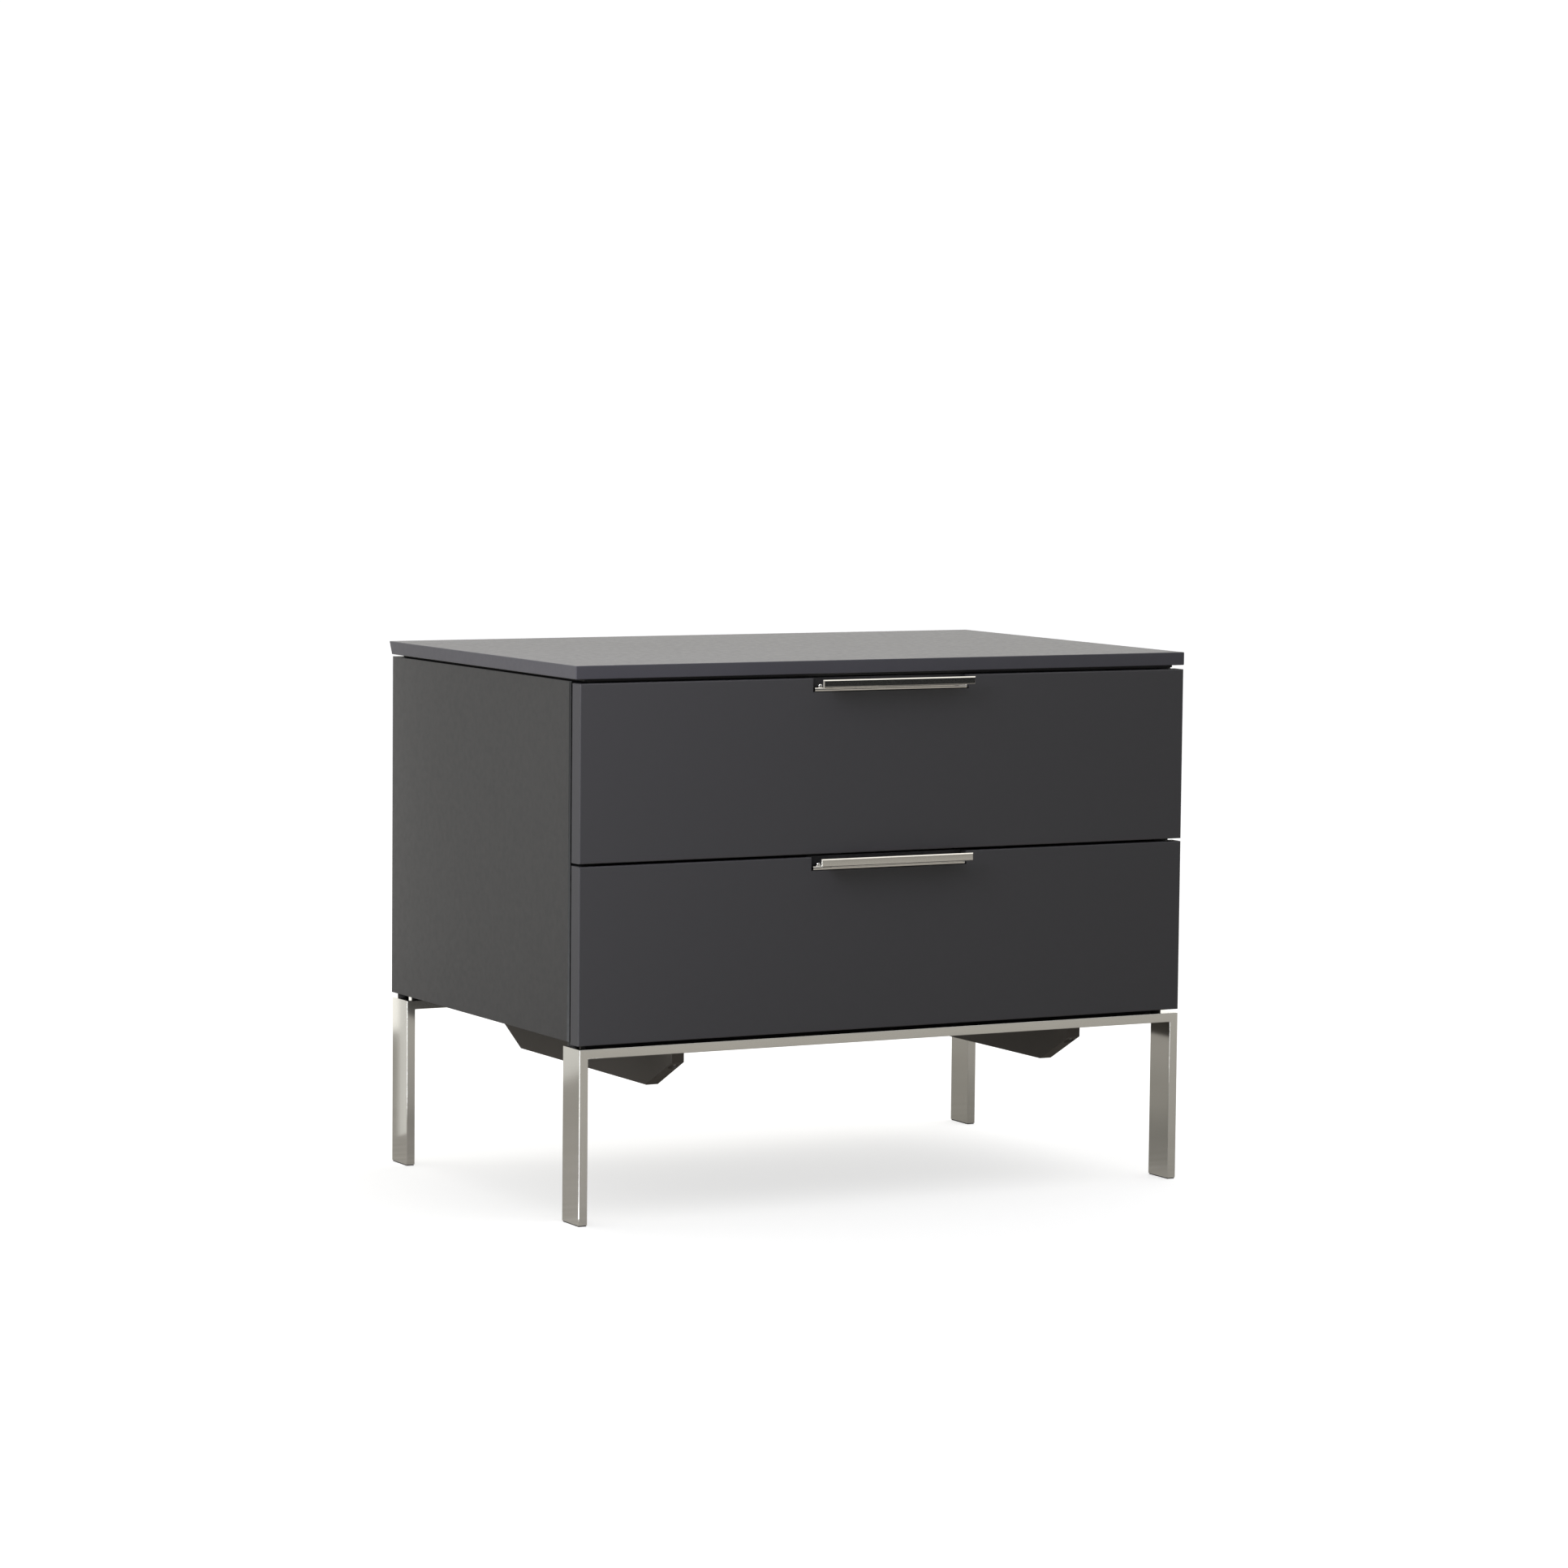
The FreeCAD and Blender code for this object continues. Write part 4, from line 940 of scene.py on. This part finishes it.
def boards_paint():
    """Pale boards that shine more towards the front."""
    material, tree, shader = begin_finish("pale_boards")
    grain = noise(tree, object_space(tree, (1.0, 12.0, 1.0)), scale=6.0, detail=5.0)
    tree.links.new(colour_between(tree, grain, (0.14, 0.13, 0.115), (0.2, 0.19, 0.17)),
                   shader.inputs["Base Color"])
    tree.links.new(colour_between(tree, grain, (0.9, 0.86, 0.78), (1.0, 0.97, 0.9)),
                   shader.inputs["Emission Color"])
    tree.links.new(number_between(tree, axis_of(tree, "Y"), 0.36, 0.1, low=-1.4, high=0.4),
                   shader.inputs["Emission Strength"])
    shader.inputs["Roughness"].default_value = 0.8
    return material


def square(half, height):
    """Corners of a level square about the middle, in metres."""
    return [(-half, -half, height), (half, -half, height), (half, half, height), (-half, half, height)]


def sheet(name, corners, material):
    """A flat stage panel through four points in metres."""
    mesh = bpy.data.meshes.new(name)
    mesh.from_pydata([Vector(corner) for corner in corners], [], [(0, 1, 2, 3)])
    mesh.materials.append(material)
    item = bpy.data.objects.new(name, mesh)
    bpy.context.scene.collection.objects.link(item)
    return item


def upright(name, start, end, height, colour, strength, diffuse=False):
    """An upright panel over a line on the floor, met by reflections."""
    corners = [(*start, 0.0), (*end, 0.0), (*end, height), (*start, height)]
    item = sheet(name, corners, glow(name + "_paint", colour, strength))
    seen_by(item, diffuse=diffuse, glossy=True)


def window(name, place, aim, width, height, power, colour):
    """A large soft lamp turned towards a point."""
    lamp = bpy.data.lights.new(name, "AREA")
    lamp.shape = "RECTANGLE"
    lamp.size = width
    lamp.size_y = height
    lamp.energy = power
    lamp.color = colour
    item = bpy.data.objects.new(name, lamp)
    bpy.context.scene.collection.objects.link(item)
    item.location = place
    item.rotation_euler = (Vector(aim) - Vector(place)).to_track_quat("-Z", "Y").to_euler()
    item.visible_camera = False
    return item


def keep_dark(name, *items):
    """A collection of objects that a lamp leaves out."""
    group = bpy.data.collections.new(name)
    for item in items:
        group.objects.link(item)
    for member in group.collection_objects:
        member.light_linking.link_state = "EXCLUDE"
    return group


def set_camera(lens):
    """The camera at the front left, a little above the slab."""
    data = bpy.data.cameras.new("camera")
    item = bpy.data.objects.new("camera", data)
    bpy.context.scene.collection.objects.link(item)
    yaw, pitch, roll = (math.radians(angle) for angle in (28.436, 4.866, 0.565))
    target, distance = Vector((-0.0002, 0.0074, 0.34806)), 4.4855
    forward = Vector((math.sin(yaw) * math.cos(pitch), math.cos(yaw) * math.cos(pitch), -math.sin(pitch)))
    level = Vector((math.cos(yaw), -math.sin(yaw), 0.0))
    rise = level.cross(forward)
    right = math.cos(roll) * level + math.sin(roll) * rise
    up = math.cos(roll) * rise - math.sin(roll) * level
    turn = Matrix((right, up, -forward)).transposed().to_4x4()
    item.matrix_world = Matrix.Translation(target - forward * distance) @ turn
    data.lens = lens
    data.sensor_width = 36.0
    data.clip_start = 0.05
    data.clip_end = 100.0
    bpy.context.scene.camera = item


class NIGHTSTAND_OT_stage(bpy.types.Operator):
    """White floor and room, soft lamps, panels that the steel mirrors, and the camera"""

    bl_idname = "nightstand.stage"
    bl_label = "Stage"

    def execute(self, context):
        scene = context.scene
        values = scene.nightstand_stage
        self.fill_air(scene, values.air)
        floor = sheet("white_floor", square(half=30.0, height=0), floor_paint())
        seen_by(floor, camera=True)
        boards = sheet("boards_in_reflections", square(half=8.0, height=-0.0005), boards_paint())
        seen_by(boards, diffuse=True, glossy=True)
        self.build_room(context)
        self.place_panels()
        self.place_lamps(values, floor)
        self.light_floor(scene, values.floor_light, floor)
        set_camera(values.lens)
        return {"FINISHED"}

    def fill_air(self, scene, strength):
        """Even light from all sides."""
        world = bpy.data.worlds.new("studio_air")
        scene.world = world
        world.use_nodes = True
        background = world.node_tree.nodes["Background"]
        background.inputs["Color"].default_value = (0.97, 0.98, 1.0, 1.0)
        background.inputs["Strength"].default_value = strength
        scene.view_settings.view_transform = "Standard"

    def build_room(self, context):
        """The white that the camera sees behind everything."""
        bpy.ops.object.select_all(action="DESELECT")
        bpy.ops.mesh.primitive_uv_sphere_add(radius=17.0, segments=48, ring_count=24)
        room = context.object
        room.name = "white_room"
        room.data.materials.append(glow("white_room_paint", (1.0, 1.0, 1.0), strength=1.05))
        seen_by(room, camera=True)

    def place_panels(self):
        """Walls, ceiling and a strip of lit floor that the steel mirrors."""
        warm, cool = (1.0, 0.985, 0.935), (0.93, 0.97, 1.0)
        upright("pale_wall", (4.0, 1.0), (-3.5, 1.0), height=2.6, colour=warm, strength=1.2, diffuse=True)
        upright("pale_side_wall", (-0.36, 0.326), (-2.63, 2.346), height=1.2, colour=warm, strength=0.72)
        upright("dark_end", (0.0, -4.15), (4.2, -2.15), height=0.52, colour=cool, strength=0.02)
        left, right, front, back, top = -0.6, 3.2, -1.8, 1.6, 2.7
        above = sheet("pale_ceiling",
                      [(left, back, top), (right, back, top), (right, front, top), (left, front, top)],
                      glow("pale_ceiling_paint", warm, strength=1.3))
        seen_by(above, glossy=True)
        outline, lift = ((-0.33, -0.15), (-0.33, -0.22), (-1.9, -1.5), (-2.4, -0.75)), 0.0006
        sheen = sheet("light_on_floor", [(*point, lift) for point in outline],
                      glow("light_on_floor_paint", cool, strength=8.0))
        seen_by(sheen, glossy=True)

    def place_lamps(self, values, floor):
        """Three soft lamps, and what each of them leaves out."""
        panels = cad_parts
        side = window("side_window", place=(-2.4, 0.1, 1.5), aim=(-0.3, 0.0, 0.3), width=1.4, height=1.6,
                      power=values.side_window, colour=(1.0, 0.98, 0.92))
        ceiling = window("ceiling", place=(0.0, -0.3, 3.0), aim=(0.0, 0.0, 0.3), width=2.5, height=2.5,
                         power=values.ceiling, colour=(1.0, 1.0, 1.0))
        front = window("front_window", place=(-1.0, -0.66, 1.0), aim=(-0.25, -0.18, 0.42), width=0.5,
                       height=0.7, power=values.front_window, colour=(0.93, 0.9, 1.0))
        side.light_linking.receiver_collection = keep_dark(
            "not_lit_from_the_side", floor, panels["top_panel"], panels["upper_drawer_front"],
            panels["lower_drawer_front"])
        ceiling.light_linking.receiver_collection = keep_dark("not_lit_from_above", floor)
        front.light_linking.receiver_collection = keep_dark(
            "not_lit_from_the_front", floor, panels["left_side_panel"])

    def light_floor(self, scene, strength, floor):
        """A very soft sun that only the floor receives."""
        sun = bpy.data.lights.new("floor_light", "SUN")
        sun.energy = strength
        sun.angle = math.radians(60)
        item = bpy.data.objects.new("floor_light", sun)
        item.rotation_euler = Vector((-0.26, 0.2, -1.0)).to_track_quat("-Z", "Y").to_euler()
        scene.collection.objects.link(item)
        lit = bpy.data.collections.new("lit_from_above")
        lit.objects.link(floor)
        item.light_linking.receiver_collection = lit


# ---------------------------------------------------------------- panel and start

OPERATORS = (
    NIGHTSTAND_OT_panels,
    NIGHTSTAND_OT_carcass,
    NIGHTSTAND_OT_mounting_boards,
    NIGHTSTAND_OT_steel_frames,
    NIGHTSTAND_OT_handles,
    NIGHTSTAND_OT_drawer_boxes,
    NIGHTSTAND_OT_runners,
    NIGHTSTAND_OT_fittings,
    NIGHTSTAND_OT_stage,
)
GROUPS = {
    "nightstand_finishes": NightstandFinishes,
    "nightstand_sizes": NightstandSizes,
    "nightstand_stage": NightstandStage,
}


class NIGHTSTAND_PT_panel(bpy.types.Panel):
    """Values and steps of the nightstand."""

    bl_idname = "NIGHTSTAND_PT_panel"
    bl_label = "Nightstand"
    bl_space_type = "VIEW_3D"
    bl_region_type = "UI"
    bl_category = "Nightstand"

    def draw(self, context):
        for group, owner in GROUPS.items():
            box = self.layout.box()
            for name in owner.__annotations__:
                box.prop(getattr(context.scene, group), name)
        for operator in OPERATORS:
            self.layout.operator(operator.bl_idname)


CLASSES = (*GROUPS.values(), *OPERATORS, NIGHTSTAND_PT_panel)


def register():
    for item in CLASSES:
        bpy.utils.register_class(item)
    for name, owner in GROUPS.items():
        setattr(bpy.types.Scene, name, bpy.props.PointerProperty(type=owner))


def unregister():
    for name in GROUPS:
        delattr(bpy.types.Scene, name)
    for item in reversed(CLASSES):
        bpy.utils.unregister_class(item)


def main():
    register()
    for operator in OPERATORS:
        group, name = operator.bl_idname.split(".")
        getattr(getattr(bpy.ops, group), name)()


if __name__ == "__main__":
    main()
